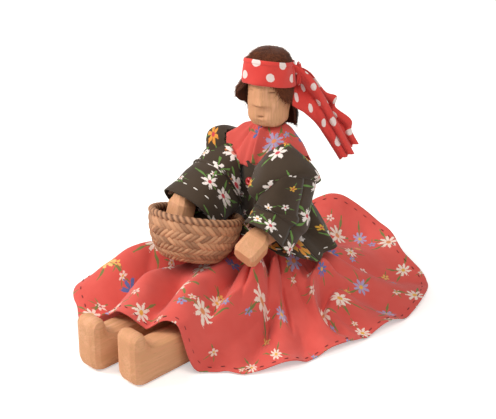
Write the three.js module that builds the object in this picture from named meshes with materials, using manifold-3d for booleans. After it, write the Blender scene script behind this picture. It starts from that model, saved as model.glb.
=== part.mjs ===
// A carved wooden doll that sits with its legs straight out and a plaited basket on its lap.
// Millimetres, +Z up. The doll faces -Y and its left side is +X. The origin is under its seat.

import * as THREE from "three";
import { mergeVertices } from "three/addons/utils/BufferGeometryUtils.js";
import Module from "manifold-3d";

const wasm = await Module();
wasm.setup();

// Clearances
const FIT = 0.3;
const CLOTH_GAP = 0.5;
const SWING_GAP = 0.6;
const CUT_MARGIN = 2;

// Torso
const SEAT_TONGUE_WIDTH = 10;
const HIP_WIDTH = 34;
const HIP_DEPTH = 25;
const WAIST_WIDTH = 24;
const WAIST_DEPTH = 19;
const CHEST_WIDTH = 25;
const CHEST_DEPTH = 21;
const COLLAR_WIDTH = 17;
const COLLAR_DEPTH = 15;
const NECK_DIAMETER = 14;
const WAIST_HEIGHT = 48;
const CHEST_RISE = 24;
const CHEST_LENGTH = 16;
const SHOULDER_DROP = 5;
const COLLAR_RISE = 12;
const NECK_STUB_LENGTH = 6;
const SHOULDER_BOSS_DIAMETER = 11;

// Pins
const LIMB_PIN_DIAMETER = 5;
const ELBOW_PIN_DIAMETER = 4;
const NECK_PEG_DIAMETER = 7;
const NECK_PEG_IN_TORSO = 14;
const NECK_PEG_IN_HEAD = 11;
const PIN_IN_TORSO = 10;

// Legs
const LEG_WIDTH = 16;
const LEG_THICKNESS = 21;
const LEG_EDGE_ROUND = 4;
const THIGH_LENGTH = 57;
const KNEE_TONGUE_WIDTH = 6;
const KNEE_LIFT = 10.8;
const SHIN_LENGTH_LEFT = 62;
const SHIN_LENGTH_RIGHT = 67;
const FOOT_LENGTH = 31;
const FOOT_THICKNESS = 10;
const INSTEP_LENGTH = 8;
const HEEL_ROUND = 8;

// Arms
const ARM_WIDTH = 10;
const SHOULDER_END_DIAMETER = 13;
const ELBOW_END_DIAMETER = 10;
const UPPER_ARM_LENGTH = 22;
const FOREARM_LENGTH = 26;
const ARM_EDGE_ROUND = 1.5;
const ELBOW_LAP = 11;
const ARM_TO_JACKET = 1.2;
const HAND_INSET_LEFT = -2;
const HAND_INSET_RIGHT = 0;
const HAND_LENGTH_LEFT = 14;
const HAND_LENGTH_RIGHT = 14;
const HAND_WIDTH = 14;
const HAND_THICKNESS = 12;
const HAND_FACET = 2.2;
const WRIST_DIAMETER = 9;
const SHOULDER_ANGLE_LEFT = 18;
const SHOULDER_ANGLE_RIGHT = 60;
const FOREARM_ANGLE_LEFT = -8;
const FOREARM_ANGLE_RIGHT = -2;
const HAND_DROOP_ANGLE_LEFT = 20;
const HAND_DROOP_ANGLE_RIGHT = 70;
const HAND_ROLL_ANGLE_LEFT = 28;
const HAND_ROLL_ANGLE_RIGHT = 8;

// Head
const HEAD_WIDTH = 22;
const HEAD_DEPTH = 23;
const HEAD_HEIGHT = 38.5;
const HEAD_FORWARD = 2.5;
const HEAD_TURN = 22;
const HEAD_NECK_LENGTH = 6;
const HEAD_SQUARENESS = 2.3;
const NOSE_LENGTH = 10.5;
const NOSE_WIDTH = 15;
const NOSE_DEPTH = 2.4;
const NOSE_ABOVE_CHIN = 13;
const EYE_AZIMUTH = 33;
const EYE_WIDTH = 4.4;
const EYE_HEIGHT = 2.6;
const EYE_ABOVE_CHIN = 20.5;
const MOUTH_WIDTH = 6;
const MOUTH_ABOVE_CHIN = 6;
const NOTCH_DEPTH = 1.2;

// Wig
const WIG_THICKNESS = 1.5;
const WIG_BACK_DROP = 5;
const WIG_BACK_EDGE = 3;
const WIG_SIDE_LIFT = 5;
const WIG_FACE_EDGE = -3;
const HAIRLINE_ABOVE_CHIN = 24.5;

// Headband
const BAND_WIDTH = 14;
const BAND_CLOTH = 0.9;
const BAND_ABOVE_CHIN = 28.5;
const BAND_SLOPE = 0.3;
const KNOT_AZIMUTH = 28;
const KNOT_DEPTH = 2.4;
const KNOT_WIDTH = 8;
const KNOT_HEIGHT = 13;
const FRONT_TAIL_TURN = 0;
const FRONT_TAIL_REACH = 26;
const FRONT_TAIL_DROP = 44;
const FRONT_TAIL_START = 20;
const FRONT_TAIL_END = 12;
const BACK_TAIL_TURN = 26;
const BACK_TAIL_REACH = 26;
const BACK_TAIL_DROP = 32;
const BACK_TAIL_START = 14;
const BACK_TAIL_END = 13;
const TAIL_ARCH = 0.5;
const TAIL_SAG = 0.36;
const TAIL_BELOW_KNOT = 5;
const TAIL_FROM_KNOT = -0.6;
const TAIL_END_LEAN_ANGLE = 40;
const TAIL_FOLDS = 4;
const TAIL_FOLD_DEPTH = 4;
const TAIL_FOLD_AT_KNOT = 0.4;
const TAIL_CLOTH = 1.4;
const TAIL_SEGMENTS = 8;

// Dress bodice, scarf and jacket
const DRESS_CLOTH = 1.2;
const BODICE_TOP_DROP = 8;
const SCARF_CLOTH = 1.6;
const SCARF_FRONT_DROP = 15;
const SCARF_BACK_DROP = 22;
const SCARF_SIDE_DROP = 5;
const SCARF_FOLD = 0.7;
const JACKET_CLOTH = 1.4;
const JACKET_FRONT_TOP_RISE = 2.5;
const JACKET_SIDE_TOP_RISE = 7;
const JACKET_BACK_TOP_DROP = 5;
const JACKET_FLARE_RISE = 3;
const JACKET_BACK_FLARE_RISE = 31;
const JACKET_HEM_DROP = 7;
const JACKET_HEM_WIDTH = 68;
const JACKET_HEM_FRONT = 16.5;
const JACKET_FRONT_RISE = 5;
const JACKET_HEM_BACK = 30;
const JACKET_FOLDS = 11;
const JACKET_FOLD_DEPTH = 1.6;
const BUTTON_DIAMETER = 5;
const BUTTON_THICKNESS = 3;
const BUTTON_DROP = 8;

// Sleeves
const SLEEVE_CLOTH = 1.2;
const SLEEVE_CAP_RISE = 15;
const SLEEVE_WIDTH = 20;
const SLEEVE_DEPTH = 20;
const SLEEVE_CROOK = 0.6;
const SLEEVE_CLEARANCE = 1.4;
const ELBOW_FULLNESS = 0.12;
const CUFF_DEPTH = 25;
const SLEEVE_OUTWARD = 0.6;
const CUFF_TOP_REACH_LEFT = 22;
const CUFF_UNDER_REACH_LEFT = 8;
const CUFF_TURN_LEFT = 1;
const CUFF_TOP_REACH_RIGHT = 26;
const CUFF_UNDER_REACH_RIGHT = 12;
const CUFF_TURN_RIGHT = 1;
const SLEEVE_FOLD_DEPTH = 0.8;

// Skirt
const SKIRT_CLOTH = 0.9;
const SKIRT_WAIST_RISE = 2;
const WAISTBAND_HEIGHT = 5;
const SKIRT_REACH = 78;
const SKIRT_LEAN_REACH = 3;
const SKIRT_LEAN_AZIMUTH = 65;
const SKIRT_OVAL_REACH = 11;
const SKIRT_OVAL_AZIMUTH = 62;
const SKIRT_LOBE_REACH = 6;
const SKIRT_LOBE_AZIMUTH = 75;
const SKIRT_FALL = 2;
const SKIRT_LAP_FALL = 1.2;
const SKIRT_HEM_WAVE = 2;
const SKIRT_FOLD_SWAY = 1.4;
const SKIRT_LAP_CLEARANCE = 7.5;
const SKIRT_HEM_CLEARANCE = 1.4;
const SKIRT_LAP_LENGTH = 56;
const SKIRT_LAP_SLOPE = 40;
const SKIRT_LEG_DRAPE = 9.6;
const SKIRT_CORNER_DRAPE = 34;
const SKIRT_FOLDS = 15;
const SKIRT_FOLD_DEPTH = 5.4;
const SKIRT_LAP_FOLD_DEPTH = 2.4;
const SKIRT_FRONT_REACH = 18;
const SKIRT_FRONT_AZIMUTH = 268;
const SKIRT_FRONT_SPREAD = 28;
const SKIRT_CORNER_REACH = 25;
const SKIRT_CORNER_LIFT = 25;
const SKIRT_CORNER_AZIMUTH = 234;
const SKIRT_CORNER_SPREAD = 17;
const SKIRT_BACK_LIFT = 30;
const SKIRT_BACK_AZIMUTH = 108;
const SKIRT_BACK_SPREAD = 30;

// Basket
const BASKET_DIAMETER = 53;
const BASKET_BASE_DIAMETER = 31;
const BASKET_BELLY_DIAMETER = 49;
const BASKET_BELLY_HEIGHT = 7;
const BASKET_HEIGHT = 24.5;
const BASKET_WALL = 2;
const BASKET_RIM_DIAMETER = 4.4;
const BASKET_TILT_ANGLE = 16;
const BASKET_ROLL_ANGLE = 8;
const BASKET_TURN_ANGLE = 45;
const BASKET_INWARD = 4.8;
const BASKET_BEHIND_WRIST = 0.2;

// Sizes that follow from those above
const legRadius = LEG_THICKNESS / 2;
const hipHeight = legRadius + SWING_GAP;
const legX = SEAT_TONGUE_WIDTH / 2 + FIT + LEG_WIDTH / 2;
const pelvisHeight = hipHeight + legRadius + SWING_GAP;
const bodiceOffset = CLOTH_GAP + DRESS_CLOTH;
const jacketOffset = bodiceOffset + CLOTH_GAP + JACKET_CLOTH;
const armInner = CHEST_WIDTH / 2 + jacketOffset + ARM_TO_JACKET;
const armX = armInner + ARM_WIDTH / 2;
const lapHeight = hipHeight + legRadius;
const chestHeight = WAIST_HEIGHT + CHEST_RISE;
const chestTop = chestHeight + CHEST_LENGTH;
const shoulderHeight = chestTop - SHOULDER_DROP;
const collarHeight = chestTop + COLLAR_RISE;
const neckHeight = collarHeight + NECK_STUB_LENGTH;
const chinHeight = neckHeight + HEAD_NECK_LENGTH;
const bodiceTop = chestTop - BODICE_TOP_DROP;
const jacketHem = WAIST_HEIGHT - JACKET_HEM_DROP;
const jacketFlare = WAIST_HEIGHT + JACKET_FLARE_RISE;
const jacketBackFlare = WAIST_HEIGHT + JACKET_BACK_FLARE_RISE;
const buttonHeight = chestTop - BUTTON_DROP;
const basketFoot = lapHeight + SKIRT_LAP_CLEARANCE + SKIRT_CLOTH + SKIRT_LAP_FOLD_DEPTH + FIT;
const basketX = BASKET_INWARD - armX;
const basketForward = UPPER_ARM_LENGTH * Math.sin(THREE.MathUtils.degToRad(SHOULDER_ANGLE_RIGHT))
  + FOREARM_LENGTH * Math.cos(THREE.MathUtils.degToRad(FOREARM_ANGLE_RIGHT)) - BASKET_BEHIND_WRIST;
const waistTop = WAIST_HEIGHT + SKIRT_WAIST_RISE;

const WOOD = { color: 0xd9a878, roughness: 0.6, metalness: 0 };
const RED_CALICO = { color: 0xd94a42, roughness: 0.9, metalness: 0 };
const DARK_CALICO = { color: 0x3d342c, roughness: 0.9, metalness: 0 };
const SPOTTED_RED = { color: 0xd8443f, roughness: 0.9, metalness: 0 };
const DARK_PLUSH = { color: 0x2e211a, roughness: 1, metalness: 0 };
const STRAW = { color: 0xb98a5e, roughness: 0.8, metalness: 0 };
const RED_BEAD = { color: 0xb3262b, roughness: 0.4, metalness: 0 };

const doll = new THREE.Group();

// Keep only positions, share vertices and turn the faces outward
function closed(geometry) {
  const bare = geometry.index ? geometry.toNonIndexed() : geometry.clone();
  bare.deleteAttribute("normal");
  bare.deleteAttribute("uv");
  const merged = mergeVertices(bare, 1e-4);
  const position = merged.attributes.position;
  const index = Array.from(merged.index.array);
  const a = new THREE.Vector3();
  const b = new THREE.Vector3();
  const c = new THREE.Vector3();
  const kept = [];
  let volume = 0;
  for (let i = 0; i < index.length; i += 3) {
    const [p, q, r] = [index[i], index[i + 1], index[i + 2]];
    if (p !== q && q !== r && r !== p) {
      kept.push(p, q, r);
      a.fromBufferAttribute(position, p);
      b.fromBufferAttribute(position, q);
      c.fromBufferAttribute(position, r);
      volume += a.dot(b.cross(c));
    }
  }
  if (volume < 0) {
    kept.reverse();
  }
  merged.setIndex(kept);
  return merged;
}

function solid(geometry) {
  const body = closed(geometry);
  const vertProperties = new Float32Array(body.attributes.position.array);
  const triVerts = new Uint32Array(body.index.array);
  return new wasm.Manifold(new wasm.Mesh({ numProp: 3, vertProperties, triVerts }));
}

function geometryOf(body) {
  const mesh = body.getMesh();
  const geometry = new THREE.BufferGeometry();
  geometry.setAttribute("position", new THREE.BufferAttribute(new Float32Array(mesh.vertProperties), 3));
  geometry.setIndex(Array.from(mesh.triVerts));
  return geometry;
}

function join(first, ...others) {
  return geometryOf(others.reduce((body, other) => body.add(solid(other)), solid(first)));
}

function cut(first, ...cutters) {
  return geometryOf(cutters.reduce((body, other) => body.subtract(solid(other)), solid(first)));
}

function addPiece(parent, name, geometry, look) {
  const mesh = new THREE.Mesh(closed(geometry), new THREE.MeshStandardMaterial(look));
  mesh.name = name;
  parent.add(mesh);
}

// Simple shapes
function box(x0, x1, y0, y1, z0, z1) {
  const shape = new THREE.BoxGeometry(x1 - x0, y1 - y0, z1 - z0);
  return shape.translate((x0 + x1) / 2, (y0 + y1) / 2, (z0 + z1) / 2);
}

function rodAlongX(diameter, x0, x1, y, z, sides = 14) {
  const rod = new THREE.CylinderGeometry(diameter / 2, diameter / 2, Math.abs(x1 - x0), sides);
  return rod.rotateZ(Math.PI / 2).translate((x0 + x1) / 2, y, z);
}

function rodAlongZ(diameter, z0, z1, sides = 18) {
  const rod = new THREE.CylinderGeometry(diameter / 2, diameter / 2, z1 - z0, sides);
  return rod.rotateX(Math.PI / 2).translate(0, 0, (z0 + z1) / 2);
}

// A side outline, drawn forward and up, becomes a bar between two places across the doll
function sideBar(outline, x0, x1, round) {
  const bar = new THREE.ExtrudeGeometry(outline, {
    depth: x1 - x0 - 2 * round,
    bevelEnabled: true,
    bevelSize: round,
    bevelOffset: -round,
    bevelThickness: round,
    bevelSegments: 2,
    curveSegments: 6,
  });
  const turn = new THREE.Matrix4().makeBasis(
    new THREE.Vector3(0, -1, 0),
    new THREE.Vector3(0, 0, 1),
    new THREE.Vector3(-1, 0, 0),
  );
  return bar.applyMatrix4(turn).translate(x1 - round, 0, 0);
}

// One ring of an oval with soft corners
function ovalRing(count, place) {
  const ring = [];
  for (let i = 0; i < count; i += 1) {
    ring.push(place((2 * Math.PI * i) / count));
  }
  return ring;
}

function ovalPoint(angle, halfWidth, halfDepth, squareness) {
  const power = 2 / squareness;
  const c = Math.cos(angle);
  const s = Math.sin(angle);
  const x = halfWidth * Math.sign(c) * Math.abs(c) ** power;
  const y = halfDepth * Math.sign(s) * Math.abs(s) ** power;
  return [x, y];
}

function triangles(points, faces) {
  const geometry = new THREE.BufferGeometry();
  geometry.setFromPoints(points);
  geometry.setIndex(faces.flat());
  return geometry;
}

function stripFaces(faces, rowA, rowB, count) {
  for (let i = 0; i < count; i += 1) {
    const j = (i + 1) % count;
    faces.push([rowA + i, rowA + j, rowB + j], [rowA + i, rowB + j, rowB + i]);
  }
}

// A closed body through a stack of rings, with flat ends
function loft(rings) {
  const count = rings[0].length;
  const points = rings.flat();
  const faces = [];
  for (let row = 0; row + 1 < rings.length; row += 1) {
    stripFaces(faces, row * count, (row + 1) * count, count);
  }
  for (const row of [0, rings.length - 1]) {
    const centre = new THREE.Vector3();
    rings[row].forEach((point) => centre.addScaledVector(point, 1 / count));
    points.push(centre);
    const hub = points.length - 1;
    for (let i = 0; i < count; i += 1) {
      const pair = [row * count + i, row * count + ((i + 1) % count)];
      faces.push(row === 0 ? [hub, pair[1], pair[0]] : [hub, pair[0], pair[1]]);
    }
  }
  return triangles(points, faces);
}

// A strip of cloth through a stack of rings, each going along one face and back along the other
function ribbon(rings) {
  const count = rings[0].length;
  const faces = [];
  for (let row = 0; row + 1 < rings.length; row += 1) {
    stripFaces(faces, row * count, (row + 1) * count, count);
  }
  const last = (rings.length - 1) * count;
  for (let i = 0; i + 1 < count / 2; i += 1) {
    const back = count - 1 - i;
    faces.push([i, back - 1, i + 1], [i, back, back - 1]);
    faces.push([last + i, last + i + 1, last + back - 1], [last + i, last + back - 1, last + back]);
  }
  return triangles(rings.flat(), faces);
}

// A wall of cloth between an outer and an inner stack of rings, open at both ends
function sleeveWall(outer, inner) {
  const count = outer[0].length;
  const around = [...outer, ...[...inner].reverse()];
  const points = around.flat();
  const faces = [];
  for (let row = 0; row < around.length; row += 1) {
    const next = (row + 1) % around.length;
    stripFaces(faces, row * count, next * count, count);
  }
  return triangles(points, faces);
}

function bell(degrees, centre, spread) {
  const apart = THREE.MathUtils.euclideanModulo(degrees - centre + 180, 360) - 180;
  return Math.exp(-((apart / spread) ** 2));
}

function smooth(value) {
  return THREE.MathUtils.smoothstep(value, 0, 1);
}

// Torso: hips, waist, chest and collar in one block, with a tongue for the legs below
const torsoStations = [
  [pelvisHeight, HIP_WIDTH, HIP_DEPTH],
  [WAIST_HEIGHT, WAIST_WIDTH, WAIST_DEPTH],
  [chestHeight, CHEST_WIDTH, CHEST_DEPTH],
  [chestTop, CHEST_WIDTH, CHEST_DEPTH],
  [collarHeight, COLLAR_WIDTH, COLLAR_DEPTH],
];

function torsoSize(z) {
  let next = torsoStations.findIndex((station) => station[0] >= z);
  next = next < 0 ? torsoStations.length - 1 : Math.max(next, 1);
  const low = torsoStations[next - 1];
  const high = torsoStations[next];
  const share = THREE.MathUtils.clamp((z - low[0]) / (high[0] - low[0]), 0, 1);
  const width = THREE.MathUtils.lerp(low[1], high[1], share);
  const depth = THREE.MathUtils.lerp(low[2], high[2], share);
  return [width / 2, depth / 2];
}

function torsoRing(z, offset, count = 24) {
  const [halfWidth, halfDepth] = torsoSize(z);
  return ovalRing(count, (angle) => {
    const [x, y] = ovalPoint(angle, halfWidth + offset, halfDepth + offset, 3);
    return new THREE.Vector3(x, y, z);
  });
}

const pinInner = armInner - FIT - PIN_IN_TORSO;
const hipPinOuter = legX + LEG_WIDTH / 2;
const pinOuter = armInner + ARM_WIDTH;
const torsoBlock = loft(torsoStations.map((station) => torsoRing(station[0], 0)));
const tongue = box(
  -SEAT_TONGUE_WIDTH / 2, SEAT_TONGUE_WIDTH / 2, -HIP_DEPTH / 2, HIP_DEPTH / 2, 0, pelvisHeight + CUT_MARGIN,
);
const neckStub = rodAlongZ(NECK_DIAMETER, collarHeight - CUT_MARGIN, neckHeight);
const bossReach = armInner - FIT;
const shoulderBoss = rodAlongX(SHOULDER_BOSS_DIAMETER, -bossReach, bossReach, 0, shoulderHeight, 24);
const torso = join(torsoBlock, tongue, neckStub, shoulderBoss);
const shoulderBores = [-1, 1].map((side) =>
  rodAlongX(
    LIMB_PIN_DIAMETER + 2 * FIT, side * (pinInner - FIT), side * (bossReach + CUT_MARGIN), 0, shoulderHeight,
  ));
const hipBore = rodAlongX(LIMB_PIN_DIAMETER + 2 * FIT, -HIP_WIDTH, HIP_WIDTH, 0, hipHeight);
const neckBore = rodAlongZ(
  NECK_PEG_DIAMETER + 2 * FIT, neckHeight - NECK_PEG_IN_TORSO - FIT, neckHeight + CUT_MARGIN,
);
addPiece(doll, "torso", cut(torso, ...shoulderBores, hipBore, neckBore), WOOD);

// One dowel through each thigh, meeting in the middle of the tongue
for (const [label, side] of [["left", 1], ["right", -1]]) {
  const hipPin = rodAlongX(LIMB_PIN_DIAMETER, side * FIT, side * hipPinOuter, 0, hipHeight);
  addPiece(doll, `hip_pin_${label}`, hipPin, WOOD);
  const shoulderPin = rodAlongX(LIMB_PIN_DIAMETER, side * pinInner, side * pinOuter, 0, shoulderHeight);
  addPiece(doll, `shoulder_pin_${label}`, shoulderPin, WOOD);
}

// Legs: the thigh ends in a tongue, and the shin in a fork round it
function thighOutline() {
  const outline = new THREE.Shape();
  const kneeRise = KNEE_LIFT - hipHeight;
  const kneeRadius = legRadius - SWING_GAP;
  outline.absarc(0, 0, legRadius, Math.PI / 2, (3 * Math.PI) / 2, false);
  outline.lineTo(THIGH_LENGTH, kneeRise - kneeRadius);
  outline.absarc(THIGH_LENGTH, kneeRise, kneeRadius, -Math.PI / 2, Math.PI / 2, false);
  outline.closePath();
  return outline;
}

function shinOutline(length) {
  const outline = new THREE.Shape();
  const radius = legRadius - SWING_GAP;
  const sole = length;
  const toeHeight = FOOT_LENGTH - KNEE_LIFT;
  outline.absarc(0, 0, radius, Math.PI / 2, (3 * Math.PI) / 2, false);
  outline.lineTo(sole - HEEL_ROUND, -KNEE_LIFT);
  outline.quadraticCurveTo(sole, -KNEE_LIFT, sole, -KNEE_LIFT + HEEL_ROUND);
  outline.lineTo(sole, toeHeight - FOOT_THICKNESS / 2);
  const toeRadius = FOOT_THICKNESS / 2;
  outline.absarc(sole - toeRadius, toeHeight - toeRadius, toeRadius, 0, Math.PI, false);
  outline.quadraticCurveTo(
    sole - FOOT_THICKNESS, radius, sole - FOOT_THICKNESS - INSTEP_LENGTH, radius,
  );
  outline.closePath();
  return outline;
}

function addLeg(label, side, shinLength) {
  const inner = legX - LEG_WIDTH / 2;
  const outer = legX + LEG_WIDTH / 2;
  const round = LEG_EDGE_ROUND;
  const kneeZ = KNEE_LIFT;
  const tongueHalf = KNEE_TONGUE_WIDTH / 2;
  const forkReach = legRadius + SWING_GAP;
  const thigh = sideBar(thighOutline(), inner, outer, round).translate(0, 0, hipHeight);
  const beside = (x0, x1) =>
    join(
      rodAlongX(2 * forkReach, x0, x1, -THIGH_LENGTH, kneeZ, 28),
      box(x0, x1, -THIGH_LENGTH - LEG_THICKNESS, -THIGH_LENGTH, kneeZ - forkReach, kneeZ + forkReach),
      box(x0, x1, -THIGH_LENGTH - CUT_MARGIN, -THIGH_LENGTH + forkReach, kneeZ - LEG_THICKNESS, kneeZ),
    );
  const pinBore = (y, z) =>
    rodAlongX(LIMB_PIN_DIAMETER + 2 * FIT, inner - CUT_MARGIN, outer + CUT_MARGIN, y, z);
  const kneeBore = pinBore(-THIGH_LENGTH, kneeZ);
  const hipHole = pinBore(0, hipHeight);
  const thighCut = cut(
    thigh,
    beside(inner - CUT_MARGIN, legX - tongueHalf),
    beside(legX + tongueHalf, outer + CUT_MARGIN),
    kneeBore,
    hipHole,
  );
  const shin = sideBar(shinOutline(shinLength), inner, outer, round).translate(0, -THIGH_LENGTH, kneeZ);
  const forkSlot = box(
    legX - tongueHalf - FIT, legX + tongueHalf + FIT,
    -THIGH_LENGTH - forkReach, -THIGH_LENGTH + LEG_THICKNESS,
    kneeZ - LEG_THICKNESS, kneeZ + LEG_THICKNESS,
  );
  const shinCut = cut(shin, forkSlot, kneeBore);
  const pin = rodAlongX(LIMB_PIN_DIAMETER, inner, outer, -THIGH_LENGTH, kneeZ);
  addPiece(doll, `thigh_${label}`, thighCut.scale(side, 1, 1), WOOD);
  addPiece(doll, `lower_leg_${label}`, shinCut.scale(side, 1, 1), WOOD);
  addPiece(doll, `knee_pin_${label}`, pin.scale(side, 1, 1), WOOD);
}

addLeg("left", 1, SHIN_LENGTH_LEFT);
addLeg("right", -1, SHIN_LENGTH_RIGHT);

// Arms: upper arm and forearm lap side by side at the elbow, and the hand is a faceted block
function taperedOutline(startRadius, endRadius, length) {
  const outline = new THREE.Shape();
  outline.absarc(0, 0, startRadius, Math.PI / 2, (3 * Math.PI) / 2, false);
  outline.lineTo(length, -endRadius);
  outline.absarc(length, 0, endRadius, -Math.PI / 2, Math.PI / 2, false);
  outline.closePath();
  return outline;
}

// A rectangle with its four corners cut off, once round
function facetedRing(halfWidth, halfHeight) {
  const nearX = halfWidth - HAND_FACET;
  const nearZ = halfHeight - HAND_FACET;
  return [
    [halfWidth, -nearZ], [halfWidth, nearZ], [nearX, halfHeight], [-nearX, halfHeight],
    [-halfWidth, nearZ], [-halfWidth, -nearZ], [-nearX, -halfHeight], [nearX, -halfHeight],
  ];
}

function handBlock(length, droop, roll) {
  const stations = [
    [-0.2, WRIST_DIAMETER, WRIST_DIAMETER],
    [0.15, HAND_WIDTH, HAND_THICKNESS],
    [0.85, HAND_WIDTH, HAND_THICKNESS],
    [1, HAND_WIDTH - HAND_FACET, HAND_THICKNESS - HAND_FACET],
  ];
  const block = loft(stations.map(([share, width, thickness]) =>
    facetedRing(width / 2, thickness / 2).map(([x, z]) => new THREE.Vector3(x, -share * length, z))));
  block.rotateY(THREE.MathUtils.degToRad(roll));
  return block.rotateX(THREE.MathUtils.degToRad(droop));
}

function addArm(label, side, swing, pitch, handLength, droop, roll, inset) {
  const shoulder = new THREE.Group();
  shoulder.position.set(0, 0, shoulderHeight);
  shoulder.rotation.x = THREE.MathUtils.degToRad(-swing);
  doll.add(shoulder);
  const elbow = new THREE.Group();
  elbow.position.set(0, 0, -UPPER_ARM_LENGTH);
  elbow.rotation.x = THREE.MathUtils.degToRad(swing - pitch);
  shoulder.add(elbow);

  const outer = armInner + ARM_WIDTH;
  const elbowRadius = ELBOW_END_DIAMETER / 2;
  const armOutline = taperedOutline(SHOULDER_END_DIAMETER / 2, elbowRadius, UPPER_ARM_LENGTH);
  const upperBar = sideBar(armOutline, armInner, outer, ARM_EDGE_ROUND).rotateX(Math.PI / 2);
  const lapCut = box(
    armInner - CUT_MARGIN, armX + FIT / 2, -ARM_WIDTH, ARM_WIDTH,
    -UPPER_ARM_LENGTH - ARM_WIDTH, -UPPER_ARM_LENGTH + ELBOW_LAP,
  );
  const bore = (diameter) => rodAlongX(diameter + 2 * FIT, armInner - CUT_MARGIN, outer + CUT_MARGIN, 0, 0);
  const shoulderBore = bore(LIMB_PIN_DIAMETER);
  const elbowBore = bore(ELBOW_PIN_DIAMETER);
  const upperArm = cut(upperBar, lapCut, shoulderBore, elbowBore.clone().translate(0, 0, -UPPER_ARM_LENGTH));

  const foreOutline = taperedOutline(elbowRadius, WRIST_DIAMETER / 2, FOREARM_LENGTH);
  const foreBar = sideBar(foreOutline, armInner, outer, ARM_EDGE_ROUND);
  const foreLapCut = box(
    armX - FIT / 2, outer + CUT_MARGIN, -ELBOW_LAP, ARM_WIDTH, -ARM_WIDTH, ARM_WIDTH,
  );
  const hand = handBlock(handLength, droop, roll).translate(armX - inset, -FOREARM_LENGTH, 0);
  const forearm = join(cut(foreBar, foreLapCut, elbowBore), hand);
  const elbowPin = rodAlongX(ELBOW_PIN_DIAMETER, armInner, outer, 0, -UPPER_ARM_LENGTH);

  addPiece(shoulder, `upper_arm_${label}`, upperArm.scale(side, 1, 1), WOOD);
  addPiece(shoulder, `elbow_pin_${label}`, elbowPin.scale(side, 1, 1), WOOD);
  addPiece(elbow, `forearm_${label}`, forearm.scale(side, 1, 1), WOOD);
}

addArm(
  "left", 1, SHOULDER_ANGLE_LEFT, FOREARM_ANGLE_LEFT,
  HAND_LENGTH_LEFT, HAND_DROOP_ANGLE_LEFT, HAND_ROLL_ANGLE_LEFT, HAND_INSET_LEFT,
);
addArm(
  "right", -1, SHOULDER_ANGLE_RIGHT, FOREARM_ANGLE_RIGHT,
  HAND_LENGTH_RIGHT, HAND_DROOP_ANGLE_RIGHT, HAND_ROLL_ANGLE_RIGHT, HAND_INSET_RIGHT,
);

// Head: an upright block with a ridged face, turned a little to the doll's left
const headGroup = new THREE.Group();
headGroup.rotation.z = THREE.MathUtils.degToRad(HEAD_TURN);
doll.add(headGroup);

const headShares = [
  [0, 0.68],
  [0.05, 0.88],
  [0.16, 0.98],
  [0.5, 1],
  [0.75, 0.97],
  [0.9, 0.82],
  [0.98, 0.5],
  [1, 0.25],
];

function headSize(z, rise) {
  const share = THREE.MathUtils.clamp((z - chinHeight) / (HEAD_HEIGHT + rise), 0, 1);
  const next = Math.max(headShares.findIndex((station) => station[0] >= share), 1);
  const [low, high] = [headShares[next - 1], headShares[next]];
  return THREE.MathUtils.mapLinear(share, low[0], high[0], low[1], high[1]);
}

function headRing(z, size, offset, ridge = 0) {
  const halfWidth = (size * HEAD_WIDTH) / 2 + offset;
  const halfDepth = (size * HEAD_DEPTH) / 2 + offset;
  return ovalRing(28, (angle) => {
    const [x, y] = ovalPoint(angle, halfWidth, halfDepth, HEAD_SQUARENESS);
    const nose = y < 0 ? ridge * Math.max(0, 1 - Math.abs(x) / (NOSE_WIDTH / 2)) : 0;
    return new THREE.Vector3(x, y - nose - HEAD_FORWARD, z);
  });
}

// A ring that climbs from the back of the head to the front
function slopedRing(z, offset) {
  return ovalRing(28, (angle) => {
    const level = z - (BAND_SLOPE * HEAD_DEPTH * Math.sin(angle)) / 2;
    const size = headSize(level, wigOffset);
    const halfWidth = (size * HEAD_WIDTH) / 2 + offset;
    const halfDepth = (size * HEAD_DEPTH) / 2 + offset;
    const [x, y] = ovalPoint(angle, halfWidth, halfDepth, HEAD_SQUARENESS);
    return new THREE.Vector3(x, y - HEAD_FORWARD, level);
  });
}

function headShell(offset) {
  const height = HEAD_HEIGHT + offset;
  return headShares.map(([share, size]) => headRing(chinHeight + share * height, size, offset));
}

const noseZ = chinHeight + NOSE_ABOVE_CHIN;
const browZ = noseZ + NOSE_LENGTH;
const faceLevels = [
  ...headShares.map(([share]) => [chinHeight + share * HEAD_HEIGHT, 0]),
  [noseZ - FIT, 0],
  [noseZ, NOSE_DEPTH],
  [browZ, 0],
].sort((low, high) => low[0] - high[0]);
const headBlock = loft(faceLevels.map(([z, given]) => {
  const onNose = z > noseZ && z < browZ;
  const ridge = onNose ? THREE.MathUtils.mapLinear(z, noseZ, browZ, NOSE_DEPTH, 0) : given;
  return headRing(z, headSize(z, 0), 0, ridge);
}));

function faceNotch(width, height, azimuth, z) {
  const notch = new THREE.CylinderGeometry(height / 2, height / 2, width, 3);
  notch.rotateZ(Math.PI / 2).scale(1, NOTCH_DEPTH / (height / 2), 1);
  notch.translate(0, -HEAD_DEPTH / 2, z);
  return notch.rotateZ(THREE.MathUtils.degToRad(azimuth)).translate(0, -HEAD_FORWARD, 0);
}

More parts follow.
